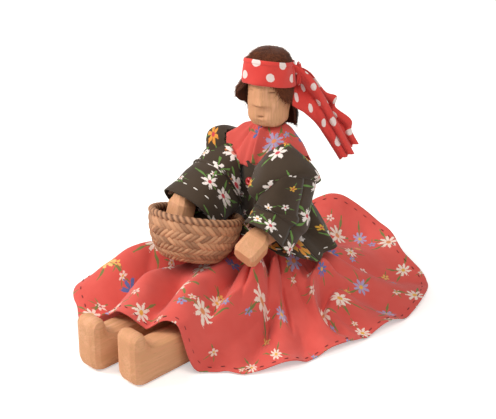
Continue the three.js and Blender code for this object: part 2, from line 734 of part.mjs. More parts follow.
const eyeZ = chinHeight + EYE_ABOVE_CHIN;
const eyes = [-1, 1].map((side) => faceNotch(EYE_WIDTH, EYE_HEIGHT, side * EYE_AZIMUTH, eyeZ));
const mouth = faceNotch(MOUTH_WIDTH, EYE_HEIGHT, 0, chinHeight + MOUTH_ABOVE_CHIN);
const neck = rodAlongZ(NECK_DIAMETER, neckHeight + FIT, chinHeight + CUT_MARGIN);
const headBore = rodAlongZ(
  NECK_PEG_DIAMETER + 2 * FIT, neckHeight - CUT_MARGIN, neckHeight + NECK_PEG_IN_HEAD + FIT,
);
addPiece(headGroup, "head", cut(join(headBlock, neck), ...eyes, mouth, headBore), WOOD);
const neckPeg = rodAlongZ(NECK_PEG_DIAMETER, neckHeight - NECK_PEG_IN_TORSO, neckHeight + NECK_PEG_IN_HEAD);
addPiece(headGroup, "neck_peg", neckPeg, WOOD);

// Wig: a plush cap over the crown that comes down beside the face and lower behind
const wigOffset = FIT + WIG_THICKNESS;
const wigBottom = chinHeight - WIG_BACK_DROP;
const halfUp = chinHeight + HEAD_HEIGHT / 2;
const backLock = loft([wigBottom, halfUp].map((z) => headRing(z, 1, wigOffset)));
const headRoom = loft(headShell(FIT));
const neckRoom = loft([wigBottom - CUT_MARGIN, halfUp].map((z) => headRing(z, 1, FIT)));
const faceEdge = WIG_FACE_EDGE - HEAD_FORWARD;
const hairline = chinHeight + HAIRLINE_ABOVE_CHIN;
const faceRoom = box(-HEAD_WIDTH, HEAD_WIDTH, -2 * HEAD_DEPTH, faceEdge, 0, hairline);
const underSides = box(-HEAD_WIDTH, HEAD_WIDTH, -HEAD_DEPTH, WIG_BACK_EDGE, 0, chinHeight + WIG_SIDE_LIFT);
const wig = cut(join(loft(headShell(wigOffset)), backLock), headRoom, neckRoom, faceRoom, underSides);
addPiece(headGroup, "wig", wig, DARK_PLUSH);

// Headband round the wig, with its knot and two loose tails on the doll's left
const bandZ = chinHeight + BAND_ABOVE_CHIN;
const bandInner = wigOffset + CLOTH_GAP;

function bandRings(offset) {
  return [-0.5, -0.2, 0.1, 0.3, 0.5].map((share) => slopedRing(bandZ + share * BAND_WIDTH, offset));
}

const headband = sleeveWall(bandRings(bandInner + BAND_CLOTH), bandRings(bandInner));
const wigRoom = loft(headShell(wigOffset + FIT));
addPiece(headGroup, "headband", cut(headband, wigRoom), SPOTTED_RED);

const knotTurn = THREE.MathUtils.degToRad(KNOT_AZIMUTH);
const knotOut = new THREE.Vector3(Math.cos(knotTurn), Math.sin(knotTurn), 0);
const knotAround = new THREE.Vector3(-Math.sin(knotTurn), Math.cos(knotTurn), 0);
const knotReach = HEAD_DEPTH / 2 + bandInner + BAND_CLOTH + KNOT_DEPTH / 2;
const knotZ = bandZ - (BAND_SLOPE * HEAD_DEPTH * Math.sin(knotTurn)) / 2;
const knotCentre = knotOut.clone().multiplyScalar(knotReach).add(new THREE.Vector3(0, -HEAD_FORWARD, knotZ));

function knotShape(clear) {
  const shape = new THREE.SphereGeometry(1, 12, 8);
  shape.scale(KNOT_DEPTH / 2 + clear, KNOT_WIDTH / 2 + clear, KNOT_HEIGHT / 2 + clear).rotateZ(knotTurn);
  return shape.translate(...knotCentre.toArray());
}

const bandRoom = loft(bandRings(bandInner + BAND_CLOTH + FIT));
addPiece(headGroup, "headband_knot", cut(knotShape(0), bandRoom), SPOTTED_RED);

// A tail fans out from the knot, bends over and hangs in lengthwise folds
function tail(azimuth, reach, drop, startWidth, endWidth, beside) {
  const turn = THREE.MathUtils.degToRad(azimuth);
  const out = new THREE.Vector3(Math.cos(turn), Math.sin(turn), 0);
  const around = new THREE.Vector3(-Math.sin(turn), Math.cos(turn), 0);
  const up = new THREE.Vector3(0, 0, 1);
  const start = knotCentre.clone().addScaledVector(knotOut, KNOT_DEPTH / 2 + TAIL_FROM_KNOT);
  start.addScaledVector(knotAround, beside).addScaledVector(up, -TAIL_BELOW_KNOT);
  const end = start.clone().addScaledVector(out, reach).addScaledVector(up, -drop);
  const over = start.clone().addScaledVector(out, reach * TAIL_ARCH).addScaledVector(up, -drop * TAIL_SAG);
  const path = new THREE.QuadraticBezierCurve3(start, over, end);
  const rings = [];
  for (let i = 0; i <= TAIL_SEGMENTS; i += 1) {
    const share = i / TAIL_SEGMENTS;
    const centre = path.getPoint(share);
    const lean = THREE.MathUtils.degToRad(THREE.MathUtils.lerp(90, TAIL_END_LEAN_ANGLE, share));
    const across = up.clone().multiplyScalar(Math.sin(lean)).addScaledVector(out, Math.cos(lean));
    const half = THREE.MathUtils.lerp(startWidth, endWidth, share) / 2;
    const depth = (TAIL_FOLD_DEPTH / 2) * (TAIL_FOLD_AT_KNOT + (1 - TAIL_FOLD_AT_KNOT) * share);
    const ring = [];
    for (const face of [1, -1]) {
      for (let k = 0; k <= 2 * TAIL_FOLDS; k += 1) {
        const place = face * (k / TAIL_FOLDS - 1);
        const wave = depth * Math.cos(place * Math.PI * TAIL_FOLDS * 0.5);
        const point = centre.clone().addScaledVector(across, place * half);
        ring.push(point.addScaledVector(around, wave + (face * TAIL_CLOTH) / 2));
      }
    }
    rings.push(ring);
  }
  return ribbon(rings);
}

const tailApart = (TAIL_FOLD_DEPTH * TAIL_FOLD_AT_KNOT + TAIL_CLOTH + FIT) / 2;
const frontTail = tail(
  KNOT_AZIMUTH + FRONT_TAIL_TURN, FRONT_TAIL_REACH, FRONT_TAIL_DROP,
  FRONT_TAIL_START, FRONT_TAIL_END, -tailApart,
);
const backTail = tail(
  KNOT_AZIMUTH + BACK_TAIL_TURN, BACK_TAIL_REACH, BACK_TAIL_DROP,
  BACK_TAIL_START, BACK_TAIL_END, tailApart,
);
addPiece(headGroup, "headband_tail_front", cut(frontTail, knotShape(FIT), bandRoom), SPOTTED_RED);
addPiece(headGroup, "headband_tail_back", cut(backTail, knotShape(FIT), bandRoom), SPOTTED_RED);

// Bodice of the dress: a plain tube round the chest with room for the shoulder bosses
const armholes = rodAlongX(SHOULDER_BOSS_DIAMETER + 2 * CLOTH_GAP, -armX, armX, 0, shoulderHeight, 24);
const bodiceLevels = [waistTop + WAISTBAND_HEIGHT + 2 * FIT, chestHeight, bodiceTop];
const bodiceOuter = bodiceLevels.map((z) => torsoRing(z, bodiceOffset));
const bodiceInner = bodiceLevels.map((z) => torsoRing(z, CLOTH_GAP));
addPiece(doll, "dress_bodice", cut(sleeveWall(bodiceOuter, bodiceInner), armholes), RED_CALICO);

// Scarf: cloth laid round the neck, low at the back and drawn to a point in front
function scarfPoint(angle, share) {
  const front = Math.max(0, -Math.sin(angle)) ** 1.2;
  const back = Math.max(0, Math.sin(angle)) ** 2;
  const sideways = Math.cos(angle) ** 2;
  const drop = front * SCARF_FRONT_DROP + back * SCARF_BACK_DROP + sideways * SCARF_SIDE_DROP;
  const near = NECK_DIAMETER / 2 + CLOTH_GAP;
  const farX = CHEST_WIDTH / 2 + jacketOffset - CLOTH_GAP;
  const farY = CHEST_DEPTH / 2 + jacketOffset + CLOTH_GAP;
  const far = 1 / Math.hypot(Math.cos(angle) / farX, Math.sin(angle) / farY);
  const radius = THREE.MathUtils.lerp(near, far, share);
  const fold = SCARF_FOLD * Math.sin(share * Math.PI) * Math.cos(9 * angle);
  const z = neckHeight + SCARF_CLOTH - drop * share ** 1.3 + fold;
  return new THREE.Vector3(radius * Math.cos(angle), radius * Math.sin(angle), z);
}

function scarfRings(lower) {
  return [0, 0.35, 0.7, 1].map((share) =>
    ovalRing(36, (angle) => scarfPoint(angle, share).add(new THREE.Vector3(0, 0, -lower))));
}

addPiece(doll, "neck_scarf", sleeveWall(scarfRings(0), scarfRings(SCARF_CLOTH)), RED_CALICO);

// Jacket: close at the chest, flared below the waist in front and from the shoulders behind
function jacketTop(angle) {
  const front = Math.max(0, -Math.sin(angle)) ** 2;
  const back = Math.max(0, Math.sin(angle)) ** 2;
  const sideways = Math.cos(angle) ** 2;
  const rise = front * JACKET_FRONT_TOP_RISE + sideways * JACKET_SIDE_TOP_RISE;
  return chestTop + rise - back * JACKET_BACK_TOP_DROP;
}

function jacketRing(share, offset, top) {
  const flare = (1 - share) ** 1.2;
  const inward = jacketOffset - offset;
  return ovalRing(44, (angle) => {
    const hemDepth = Math.sin(angle) < 0 ? JACKET_HEM_FRONT : JACKET_HEM_BACK;
    const wide = THREE.MathUtils.lerp(CHEST_WIDTH / 2 + offset, JACKET_HEM_WIDTH / 2 - inward, flare);
    const deep = THREE.MathUtils.lerp(CHEST_DEPTH / 2 + offset, hemDepth - inward, flare);
    const fold = 1 + (flare * JACKET_FOLD_DEPTH * Math.cos(JACKET_FOLDS * angle)) / wide;
    const [x, y] = ovalPoint(angle, wide * fold, deep * fold, 3 - 0.8 * flare);
    const lift = JACKET_FRONT_RISE * flare * Math.max(0, -Math.sin(angle));
    const flareTop = THREE.MathUtils.lerp(jacketFlare, jacketBackFlare, smooth((Math.sin(angle) - 0.4) / 0.4));
    const level = THREE.MathUtils.lerp(jacketHem, flareTop, share);
    return new THREE.Vector3(x, y, top ? jacketTop(angle) : level + lift);
  });
}

const jacketShares = [0, 0.25, 0.5, 0.75, 1];
const jacketRings = (offset) => [
  ...jacketShares.map((share) => jacketRing(share, offset, false)),
  jacketRing(1, offset, true),
];
const jacket = sleeveWall(jacketRings(jacketOffset), jacketRings(jacketOffset - JACKET_CLOTH));
addPiece(doll, "jacket_body", cut(jacket, armholes), DARK_CALICO);

const button = new THREE.SphereGeometry(BUTTON_DIAMETER / 2, 10, 6);
button.scale(1, BUTTON_THICKNESS / BUTTON_DIAMETER, 1);
button.translate(0, -CHEST_DEPTH / 2 - jacketOffset - FIT - BUTTON_THICKNESS / 2, buttonHeight);
addPiece(doll, "jacket_button", button, RED_BEAD);

// Sleeves: wide tubes from a puffed cap at the shoulder, round the elbow, to a slanted cuff
function sleeveRings(side, swing, pitch, cuffReach, cuffTurn, inset) {
  const swingAngle = THREE.MathUtils.degToRad(swing);
  const pitchAngle = THREE.MathUtils.degToRad(pitch);
  const up = new THREE.Vector3(0, Math.sin(swingAngle), Math.cos(swingAngle));
  const backward = new THREE.Vector3(0, Math.cos(swingAngle), -Math.sin(swingAngle));
  const forward = new THREE.Vector3(0, -Math.cos(pitchAngle), Math.sin(pitchAngle));
  const below = new THREE.Vector3(0, -Math.sin(pitchAngle), -Math.cos(pitchAngle));
  const downward = backward.clone().lerp(below, cuffTurn).normalize();
  const middle = new THREE.Vector3(armX + SLEEVE_OUTWARD, 0, shoulderHeight);
  const elbow = middle.clone().addScaledVector(up, -UPPER_ARM_LENGTH);
  const crook = SHOULDER_END_DIAMETER / 2 + SLEEVE_CLEARANCE + SLEEVE_CLOTH + SLEEVE_CROOK;
  const fromPivot = (size) => (size * SLEEVE_DEPTH) / 2 + SLEEVE_CROOK;
  const bendAngle = up.angleTo(forward);
  const pivotShare = crook / Math.sin(bendAngle);
  const pivot = elbow.clone().addScaledVector(up, pivotShare).addScaledVector(forward, pivotShare);
  const capRise = UPPER_ARM_LENGTH - crook / Math.tan(bendAngle / 2) + SLEEVE_CAP_RISE;
  const capStations = [[1, 0.42], [0.93, 0.72], [0.8, 0.91], [0.6, 0.98], [0.3, 1]];
  const cap = capStations.map(([share, size]) => {
    const behind = THREE.MathUtils.lerp(fromPivot(1), crook, smooth(2 * share));
    const centre = pivot.clone().addScaledVector(backward, behind).addScaledVector(up, share * capRise);
    return { out: backward, centre, size, past: 0 };
  });
  const bend = [0, 0.25, 0.5, 0.75, 1].map((share) => {
    const out = backward.clone().lerp(downward, share).normalize();
    const size = 1 + ELBOW_FULLNESS * Math.sin(share * Math.PI);
    return { out, centre: pivot.clone().addScaledVector(out, fromPivot(size)), size, past: 0 };
  });
  const cuff = [0.5, 1].map((past) => ({
    out: downward,
    size: THREE.MathUtils.lerp(1, CUFF_DEPTH / SLEEVE_DEPTH, past),
    past,
  })).map((ring) => ({ ...ring, centre: pivot.clone().addScaledVector(downward, fromPivot(ring.size)) }));
  return [...cap, ...bend, ...cuff].map(({ out, centre, size, past }, row) =>
    ovalRing(16, (angle) => {
      const fold = 1 + (SLEEVE_FOLD_DEPTH * Math.min(row / 8, 1) * Math.cos(5 * angle)) / SLEEVE_WIDTH;
      const halfWidth = (SLEEVE_WIDTH / 2) * size * fold - inset;
      const halfDepth = (SLEEVE_DEPTH / 2) * size * fold - inset;
      const [x, y] = ovalPoint(angle, halfWidth, halfDepth, 2.4);
      const reach = THREE.MathUtils.mapLinear(y / halfDepth, -1, 1, ...cuffReach);
      const point = centre.clone().addScaledVector(out, y).addScaledVector(forward, past * reach);
      return point.set(side * (point.x + x), point.y, point.z);
    }));
}

function addSleeve(label, side, swing, pitch, cuffReach, cuffTurn) {
  const outer = loft(sleeveRings(side, swing, pitch, cuffReach, cuffTurn, 0));
  const pastCuff = cuffReach.map((reach) => reach + 2 * CUT_MARGIN);
  const hollow = loft(sleeveRings(side, swing, pitch, pastCuff, cuffTurn, SLEEVE_CLOTH));
  hollow.translate(0, 0, -SLEEVE_CLOTH);
  const bodyReach = CHEST_WIDTH / 2 + jacketOffset + FIT;
  const bodyFront = CHEST_DEPTH / 2 + jacketOffset + CLOTH_GAP;
  const besideBody = box(0, bodyReach, -bodyFront, bodyFront + SLEEVE_DEPTH, 0, chinHeight + HEAD_HEIGHT);
  const jacketRoom = loft(jacketRings(jacketOffset + FIT));
  const sleeve = cut(outer, hollow, besideBody.scale(side, 1, 1), jacketRoom, armholes);
  addPiece(doll, `sleeve_${label}`, sleeve, DARK_CALICO);
}

const leftCuff = [CUFF_TOP_REACH_LEFT, CUFF_UNDER_REACH_LEFT];
const rightCuff = [CUFF_TOP_REACH_RIGHT, CUFF_UNDER_REACH_RIGHT];
addSleeve("left", 1, SHOULDER_ANGLE_LEFT, FOREARM_ANGLE_LEFT, leftCuff, CUFF_TURN_LEFT);
addSleeve("right", -1, SHOULDER_ANGLE_RIGHT, FOREARM_ANGLE_RIGHT, rightCuff, CUFF_TURN_RIGHT);

// Skirt: gathered at the waist, over the legs in front and on the ground at the sides and back
function skirtReach(degrees) {
  const wave = (count, azimuth) => Math.cos(THREE.MathUtils.degToRad(count * (degrees - azimuth)));
  const lean = SKIRT_LEAN_REACH * wave(1, SKIRT_LEAN_AZIMUTH);
  const oval = SKIRT_OVAL_REACH * wave(2, SKIRT_OVAL_AZIMUTH);
  const lobes = SKIRT_LOBE_REACH * wave(3, SKIRT_LOBE_AZIMUTH);
  const outline = SKIRT_REACH + lean + oval + lobes;
  const front = SKIRT_FRONT_REACH * bell(degrees, SKIRT_FRONT_AZIMUTH, SKIRT_FRONT_SPREAD);
  return outline + front + SKIRT_CORNER_REACH * bell(degrees, SKIRT_CORNER_AZIMUTH, SKIRT_CORNER_SPREAD);
}

function legCover(x, y) {
  const legEdge = legX + LEG_WIDTH / 2 + CUT_MARGIN;
  const towardsCorner = x < 0 ? smooth((-y - HIP_DEPTH) / SKIRT_LAP_SLOPE) : 0;
  const drape = THREE.MathUtils.lerp(SKIRT_LEG_DRAPE, SKIRT_CORNER_DRAPE, towardsCorner);
  const outside = 1 - smooth((Math.abs(x) - legEdge) / drape);
  const inFront = 1 - smooth((y + HIP_DEPTH / 2) / HIP_DEPTH);
  const towardsHem = smooth((-y - SKIRT_LAP_LENGTH) / SKIRT_LAP_SLOPE);
  const clearance = THREE.MathUtils.lerp(SKIRT_LAP_CLEARANCE, SKIRT_HEM_CLEARANCE, towardsHem);
  return (lapHeight + clearance) * outside * inFront;
}

function skirtPoint(angle, share) {
  const degrees = THREE.MathUtils.radToDeg(angle);
  const fold = (1 + Math.cos(SKIRT_FOLDS * angle + SKIRT_FOLD_SWAY * Math.sin(2 * angle))) / 2;
  const [waistX, waistY] = ovalPoint(angle, WAIST_WIDTH / 2 + CLOTH_GAP, WAIST_DEPTH / 2 + CLOTH_GAP, 2.4);
  const waistRadius = Math.hypot(waistX, waistY) + SKIRT_CLOTH;
  const hemRadius = skirtReach(degrees) + SKIRT_HEM_WAVE * (2 * fold - 1);
  const radius = THREE.MathUtils.lerp(waistRadius, hemRadius, share);
  const x = radius * Math.cos(angle);
  const y = radius * Math.sin(angle);
  const fullness = fold * Math.sin(Math.PI * Math.min(0.8, 0.92 * share)) * Math.min(1, 3 * share);
  const corner = SKIRT_CORNER_LIFT * bell(degrees, SKIRT_CORNER_AZIMUTH, SKIRT_CORNER_SPREAD);
  const cornerRise = corner * Math.sin(0.72 * Math.PI * share) * smooth((share - 0.28) / 0.3);
  const backRise = SKIRT_BACK_LIFT * bell(degrees, SKIRT_BACK_AZIMUTH, SKIRT_BACK_SPREAD) * share ** 2;
  const steepness = SKIRT_FALL + SKIRT_LAP_FALL * Math.max(0, -Math.sin(angle));
  const fall = (waistTop - SKIRT_CLOTH) * (1 - share) ** steepness;
  const free = fall + cornerRise + backRise + SKIRT_FOLD_DEPTH * fullness;
  const onLegs = legCover(x, y) + SKIRT_LAP_FOLD_DEPTH * fullness * smooth(4 * share);
  return new THREE.Vector3(x, y, Math.max(free, onLegs) + SKIRT_CLOTH);
}

const skirtShares = [0, 0.12, 0.28, 0.46, 0.64, 0.82, 1];
const skirtRings = (lower) =>
  skirtShares.map((share) =>
    ovalRing(84, (angle) => skirtPoint(angle, share).add(new THREE.Vector3(0, 0, -lower))));
addPiece(doll, "skirt", sleeveWall(skirtRings(0), skirtRings(SKIRT_CLOTH)), RED_CALICO);

const waistLevels = [waistTop + FIT, waistTop + FIT + WAISTBAND_HEIGHT];
const waistband = sleeveWall(
  waistLevels.map((z) => torsoRing(z, bodiceOffset)),
  waistLevels.map((z) => torsoRing(z, CLOTH_GAP)),
);
addPiece(doll, "skirt_waistband", waistband, RED_CALICO);

// Basket: an open round bowl, with its rim raised at the front left and lower at the back right
const basketProfile = [];
const halfLength = BASKET_DIAMETER / 2;
const baseRadius = BASKET_BASE_DIAMETER / 2;
const rimRadius = BASKET_RIM_DIAMETER / 2;
const wallTop = BASKET_HEIGHT - rimRadius;
const bowlSide = new THREE.QuadraticBezierCurve(
  new THREE.Vector2(baseRadius, 0),
  new THREE.Vector2(BASKET_BELLY_DIAMETER / 2, BASKET_BELLY_HEIGHT),
  new THREE.Vector2(halfLength - BASKET_WALL / 2, wallTop),
);
basketProfile.push(new THREE.Vector2(0, 0));
basketProfile.push(...bowlSide.getPoints(4));
for (let i = 0; i <= 4; i += 1) {
  const turn = -Math.PI / 3 + (i * Math.PI) / 3;
  basketProfile.push(new THREE.Vector2(
    halfLength - BASKET_WALL + rimRadius * Math.cos(turn),
    wallTop + rimRadius + rimRadius * Math.sin(turn),
  ));
}
const inside = bowlSide.getPoints(4).reverse();
inside.forEach((point) => basketProfile.push(new THREE.Vector2(
  point.x - BASKET_WALL, Math.max(point.y, BASKET_WALL),
)));
basketProfile.push(new THREE.Vector2(0, BASKET_WALL));
const bowl = new THREE.LatheGeometry(basketProfile, 28);
const basketTilt = THREE.MathUtils.degToRad(BASKET_TILT_ANGLE);
const basketRoll = THREE.MathUtils.degToRad(BASKET_ROLL_ANGLE);
bowl.rotateX(Math.PI / 2 - basketTilt);
bowl.rotateY(basketRoll).rotateZ(THREE.MathUtils.degToRad(BASKET_TURN_ANGLE));
const basketLean = Math.acos(Math.cos(basketTilt) * Math.cos(basketRoll));
const basketRise = baseRadius * Math.sin(basketLean);
bowl.translate(basketX, -basketForward, basketFoot + basketRise);
addPiece(doll, "basket", bowl, STRAW);

export default doll;
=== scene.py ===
# %% [markdown]
# # A carved doll with a basket
# The doll sits on the floor with its legs straight out. Its joints and solid pieces come from the
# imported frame. This file dresses them: cloth, hair, plaited straw, and wood that looks carved.
# Sizes are in millimetres until a mesh is made, because that is how the doll was measured.

import bmesh
import bpy
import numpy as np
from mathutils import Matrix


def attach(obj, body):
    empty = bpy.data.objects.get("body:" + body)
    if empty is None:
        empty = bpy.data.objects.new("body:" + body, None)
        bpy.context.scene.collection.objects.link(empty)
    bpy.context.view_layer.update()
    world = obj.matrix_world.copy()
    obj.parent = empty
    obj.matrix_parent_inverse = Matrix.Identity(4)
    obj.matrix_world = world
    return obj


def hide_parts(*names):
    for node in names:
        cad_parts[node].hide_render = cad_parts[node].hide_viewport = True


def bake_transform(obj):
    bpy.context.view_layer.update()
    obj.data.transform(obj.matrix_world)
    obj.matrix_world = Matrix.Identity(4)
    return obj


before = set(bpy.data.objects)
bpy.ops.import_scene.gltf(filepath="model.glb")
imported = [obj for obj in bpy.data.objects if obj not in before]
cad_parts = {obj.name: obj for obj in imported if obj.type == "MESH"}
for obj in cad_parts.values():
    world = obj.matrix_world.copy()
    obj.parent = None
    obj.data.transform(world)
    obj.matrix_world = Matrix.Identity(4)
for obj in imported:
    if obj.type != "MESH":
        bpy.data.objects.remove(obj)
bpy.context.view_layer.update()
MM = 0.001

# %% [markdown]
# ## Camera
# The photograph was taken from the doll's front left and from above, with a long lens. The camera
# comes first.

# %% Camera
camera_data = bpy.data.cameras.new("photo_camera")
camera_data.sensor_fit = "HORIZONTAL"
camera_data.sensor_width = 36
camera_data.lens = 103.69
camera = bpy.data.objects.new("photo_camera", camera_data)
camera.location = (0.5091, -0.51756, 0.39632)
camera.rotation_euler = np.radians((65, 0, 45.5))
bpy.context.scene.collection.objects.link(camera)
bpy.context.scene.camera = camera
print("camera at", tuple(round(x, 3) for x in camera.location))

# %% [markdown]
# ## Meshes from grids
# Every new piece is a grid of points worked out with numpy. One function turns grids into a mesh:
# it joins neighbours with four-sided faces, keeps the flat-cloth coordinates as a UV map in
# millimetres, turns the faces outward and welds the points that meet at poles and seams.


# %% Grid to mesh
def grid(*parts):
    """Points or flat coordinates from their parts, each given for the whole grid, a row or a column."""
    return np.stack(np.broadcast_arrays(*parts), -1)


def grid_faces(points, flat):
    """Corner numbers and flat coordinates of the quads between neighbours on each grid."""
    copies, rows, cols = points.shape[:3]
    row, col = np.meshgrid(np.arange(rows - 1), np.arange(cols - 1), indexing="ij")
    corner_rows = grid(row, row, row + 1, row + 1).reshape(-1, 4)
    corner_cols = grid(col, col + 1, col + 1, col).reshape(-1, 4)
    first = (np.arange(copies) * rows * cols)[:, None, None]
    quads = first + corner_rows * cols + corner_cols
    corner_flat = flat[:, corner_rows, corner_cols]
    a, b, c, d = (points.reshape(-1, 3)[quads[..., k]] for k in range(4))
    centre = points.mean((1, 2))[:, None]
    outward = (np.cross(c - a, d - b) * ((a + b + c + d) / 4 - centre)).sum((-1, -2))
    turned = outward < 0
    quads[turned] = quads[turned, :, ::-1]
    corner_flat[turned] = corner_flat[turned, :, ::-1]
    return quads.reshape(-1, 4), corner_flat.reshape(-1, 4, 2)


def make_piece(name, patches, finish, weld=True, **layers):
    """A mesh object from patches of (points in mm, flat coordinates or None), with layers of point values."""
    places, quads, flats = [], [], []
    used = 0
    for points, flat in patches:
        points = points.reshape(-1, *points.shape[-3:])
        flat = np.zeros(2) if flat is None else flat
        faces, corners = grid_faces(points, np.broadcast_to(flat, (*points.shape[:3], 2)).copy())
        places.append(points.reshape(-1, 3))
        quads.append(faces + used)
        flats.append(corners)
        used += points.size // 3
    mesh = bpy.data.meshes.new(name)
    mesh.from_pydata((np.concatenate(places) * MM).tolist(), [], np.concatenate(quads).tolist())
    mesh.uv_layers.new(name="flat_cloth").data.foreach_set("uv", np.concatenate(flats).ravel())
    mesh.polygons.foreach_set("use_smooth", np.ones(len(mesh.polygons), bool))
    mesh.materials.append(finish)
    for layer, values in layers.items():
        shades = np.broadcast_to(np.ravel(values), used).astype(np.float32)
        mesh.attributes.new(layer, "FLOAT", "POINT").data.foreach_set("value", shades)
    piece = bpy.data.objects.new(name, mesh)
    bpy.context.scene.collection.objects.link(piece)
    if weld:
        weld_points(mesh)
    print(name, "has", len(mesh.polygons), "faces")
    return piece


def weld_points(mesh):
    """Joins points that lie in the same place, so poles and seams are closed."""
    work = bmesh.new()
    work.from_mesh(mesh)
    bmesh.ops.remove_doubles(work, verts=work.verts, dist=1e-7)
    work.to_mesh(mesh)
    work.free()


def dress(piece, body, slot, *nodes):
    """The piece rides on a body and stands for the solid nodes it hides. Its slot is not used."""
    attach(piece, body)
    if nodes:
        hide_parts(*nodes)


def thicken(piece, thickness):
    """Gives a sheet the thickness of its cloth, inward from the surface that was worked out."""
    solidify = piece.modifiers.new("cloth_thickness", "SOLIDIFY")
    solidify.thickness = thickness * MM
    solidify.offset = -1


def declare_cut(piece, width, length, held, *rests_on, area=None):
    """Says to what size in mm the cloth was cut. The area is not used."""
    print(piece.name, "is cut", width, "by", length, "mm")


# %% [markdown]
# ## Curves and wrinkles
# Cloth and carving need smooth runs between a few measured stations, and small irregular wrinkles.
# A spline gives the first, and a sum of plane waves in random directions gives the second.


# %% Curve helpers
def spline(stations, count):
    """A smooth run through the stations: each point takes half the step between neighbours as tangent."""
    given = np.asarray(stations, float)
    ends = np.concatenate([[2 * given[0] - given[1]], given, [2 * given[-1] - given[-2]]])
    at = np.linspace(0, len(given) - 1, count)
    low = np.minimum(at.astype(int), len(given) - 2)
    t = (at - low).reshape(-1, *[1] * (given.ndim - 1))
    p, q, r, s = (ends[low + k] for k in range(4))
    return 0.5 * (2 * q + (r - p) * t + (2 * p - 5 * q + 4 * r - s) * t**2 + (3 * q - p - 3 * r + s) * t**3)


def eased(table, value):
    """Runs from each (place, height) of a table to the next with half a cosine, level beyond the ends."""
    places, heights = np.array(table, float).T
    at = np.clip(np.searchsorted(places, value, side="right") - 1, 0, len(places) - 2)
    share = np.clip((value - places[at]) / (places[at + 1] - places[at]), 0, 1)
    return heights[at] + (heights[at + 1] - heights[at]) * (1 - np.cos(np.pi * share)) / 2


def smooth(value):
    """Nought below 0, one above 1, and an S-shaped rise between."""
    t = np.clip(value, 0, 1)
    return t * t * (3 - 2 * t)


def hump(value, centre, spread, power=2):
    """One at its centre and nought far from it. A higher even power gives a flatter top."""
    return np.exp(-(((value - centre) / spread) ** power))


def bell(degrees, centre, spread):
    """A hump over an angle in degrees."""
    return hump((degrees - centre + 180) % 360 - 180, 0, spread)


def zigzag(value):
    """Straight lines between 1 and -1, again and again after every 2."""
    return 2 * np.abs(value % 2 - 1) - 1


def ripples(u, v, wave, seed, count=20):
    """Soft irregular wrinkles: plane waves near one wavelength, in random directions, of unit strength."""
    rng = np.random.default_rng(seed)
    turn, phase = rng.uniform(0, 2 * np.pi, (2, count))
    number = 2 * np.pi / (wave * rng.uniform(0.7, 1.5, count))
    across = u[..., None] * np.cos(turn) + v[..., None] * np.sin(turn)
    return np.cos(across * number + phase).sum(-1) * np.sqrt(2 / count)


# %% Shape helpers
def once_round(count):
    """Angles once round, the last one on the first."""
    return np.linspace(0, 2 * np.pi, count)


def polar(reach, angle, *height):
    """Points at a distance and an angle round the Z axis, with a height where they need one."""
    return grid(reach * np.cos(angle), reach * np.sin(angle), *height)


def oval(angle, half_width, half_depth, squareness):
    """A superellipse: cosine and sine, each raised to 2 / squareness, times half width and half depth."""
    c, s = np.cos(angle), np.sin(angle)
    power = 2 / squareness
    return half_width * np.sign(c) * np.abs(c) ** power, half_depth * np.sign(s) * np.abs(s) ** power


def unit(vectors):
    """Vectors in the same directions, each of length one."""
    return vectors / np.linalg.norm(vectors, axis=-1, keepdims=True)


# %% [markdown]
# ## Colour and nodes
# Colours are written as sRGB hex values, as they look in the photograph. Blender mixes linear
# light, so one function converts them. One more function adds a shader node with its settings and
# links, and short ones for the most common nodes keep each material a readable list.


# %% Material helpers
def srgb(code):
    """An sRGB hex colour as linear red, green, blue and alpha."""
    parts = np.array([int(code[k : k + 2], 16) for k in (1, 3, 5)]) / 255
    linear = np.where(parts <= 0.04045, parts / 12.92, ((parts + 0.055) / 1.055) ** 2.4)
    return (*linear.tolist(), 1.0)


def add(tree, kind, links=None, **settings):
    """Adds one node. Settings are its properties, links are sockets given a value or another socket."""
    made = tree.nodes.new("ShaderNode" + kind)
    for key, value in settings.items():
        setattr(made, key, value)
    for key, value in (links or {}).items():
        if isinstance(value, bpy.types.NodeSocket):
            tree.links.new(value, made.inputs[key])
        else:
            made.inputs[key].default_value = value
    return made.outputs


def calc(tree, operation, *values):
    """The result of one sum on numbers or sockets."""
    return add(tree, "Math", dict(enumerate(values)), operation=operation)[0]


def vector(tree, operation, *values):
    """The result of one sum on vectors: a number for LENGTH, or else a vector."""
    made = add(tree, "VectorMath", dict(enumerate(values)), operation=operation)
    return made["Value" if operation == "LENGTH" else "Vector"]


def ranged(tree, value, low, high, bottom=0.0, top=1.0):
    """A value moved from the range low to high into the range bottom to top, and held inside it."""
    ends = {"From Min": low, "From Max": high, "To Min": bottom, "To Max": top}
    return add(tree, "MapRange", {"Value": value, **ends})[0]


def noise(tree, place, scale, detail, roughness=0.5):
    """Cloudy noise at a place, finer with a larger scale."""
    links = {"Vector": place, "Scale": scale, "Detail": detail, "Roughness": roughness}
    return add(tree, "TexNoise", links)[0]


def mix(tree, factor, *colours):
    """Two colours mixed, each of them a socket or a hex value."""
    first, second = (srgb(colour) if isinstance(colour, str) else colour for colour in colours)
    return add(tree, "Mix", {"Factor": factor, 6: first, 7: second}, data_type="RGBA")[2]


def ramp(tree, value, stops, constant=False):
    """A colour picked by a value from stops of (place, hex colour)."""
    colour = add(tree, "ValToRGB", {"Fac": value})["Color"]
    scale = colour.node.color_ramp
    scale.interpolation = "CONSTANT" if constant else "LINEAR"
    while len(scale.elements) < len(stops):
        scale.elements.new(0.5)
    for element, (place, code) in zip(scale.elements, stops):
        element.position = place
        element.color = srgb(code)
    return colour


def raise_surface(tree, height, strength, distance, **under):
    """The normal of a surface raised by a height, over another normal where one is given."""
    return add(tree, "Bump", {"Height": height, "Strength": strength, "Distance": distance, **under})[0]


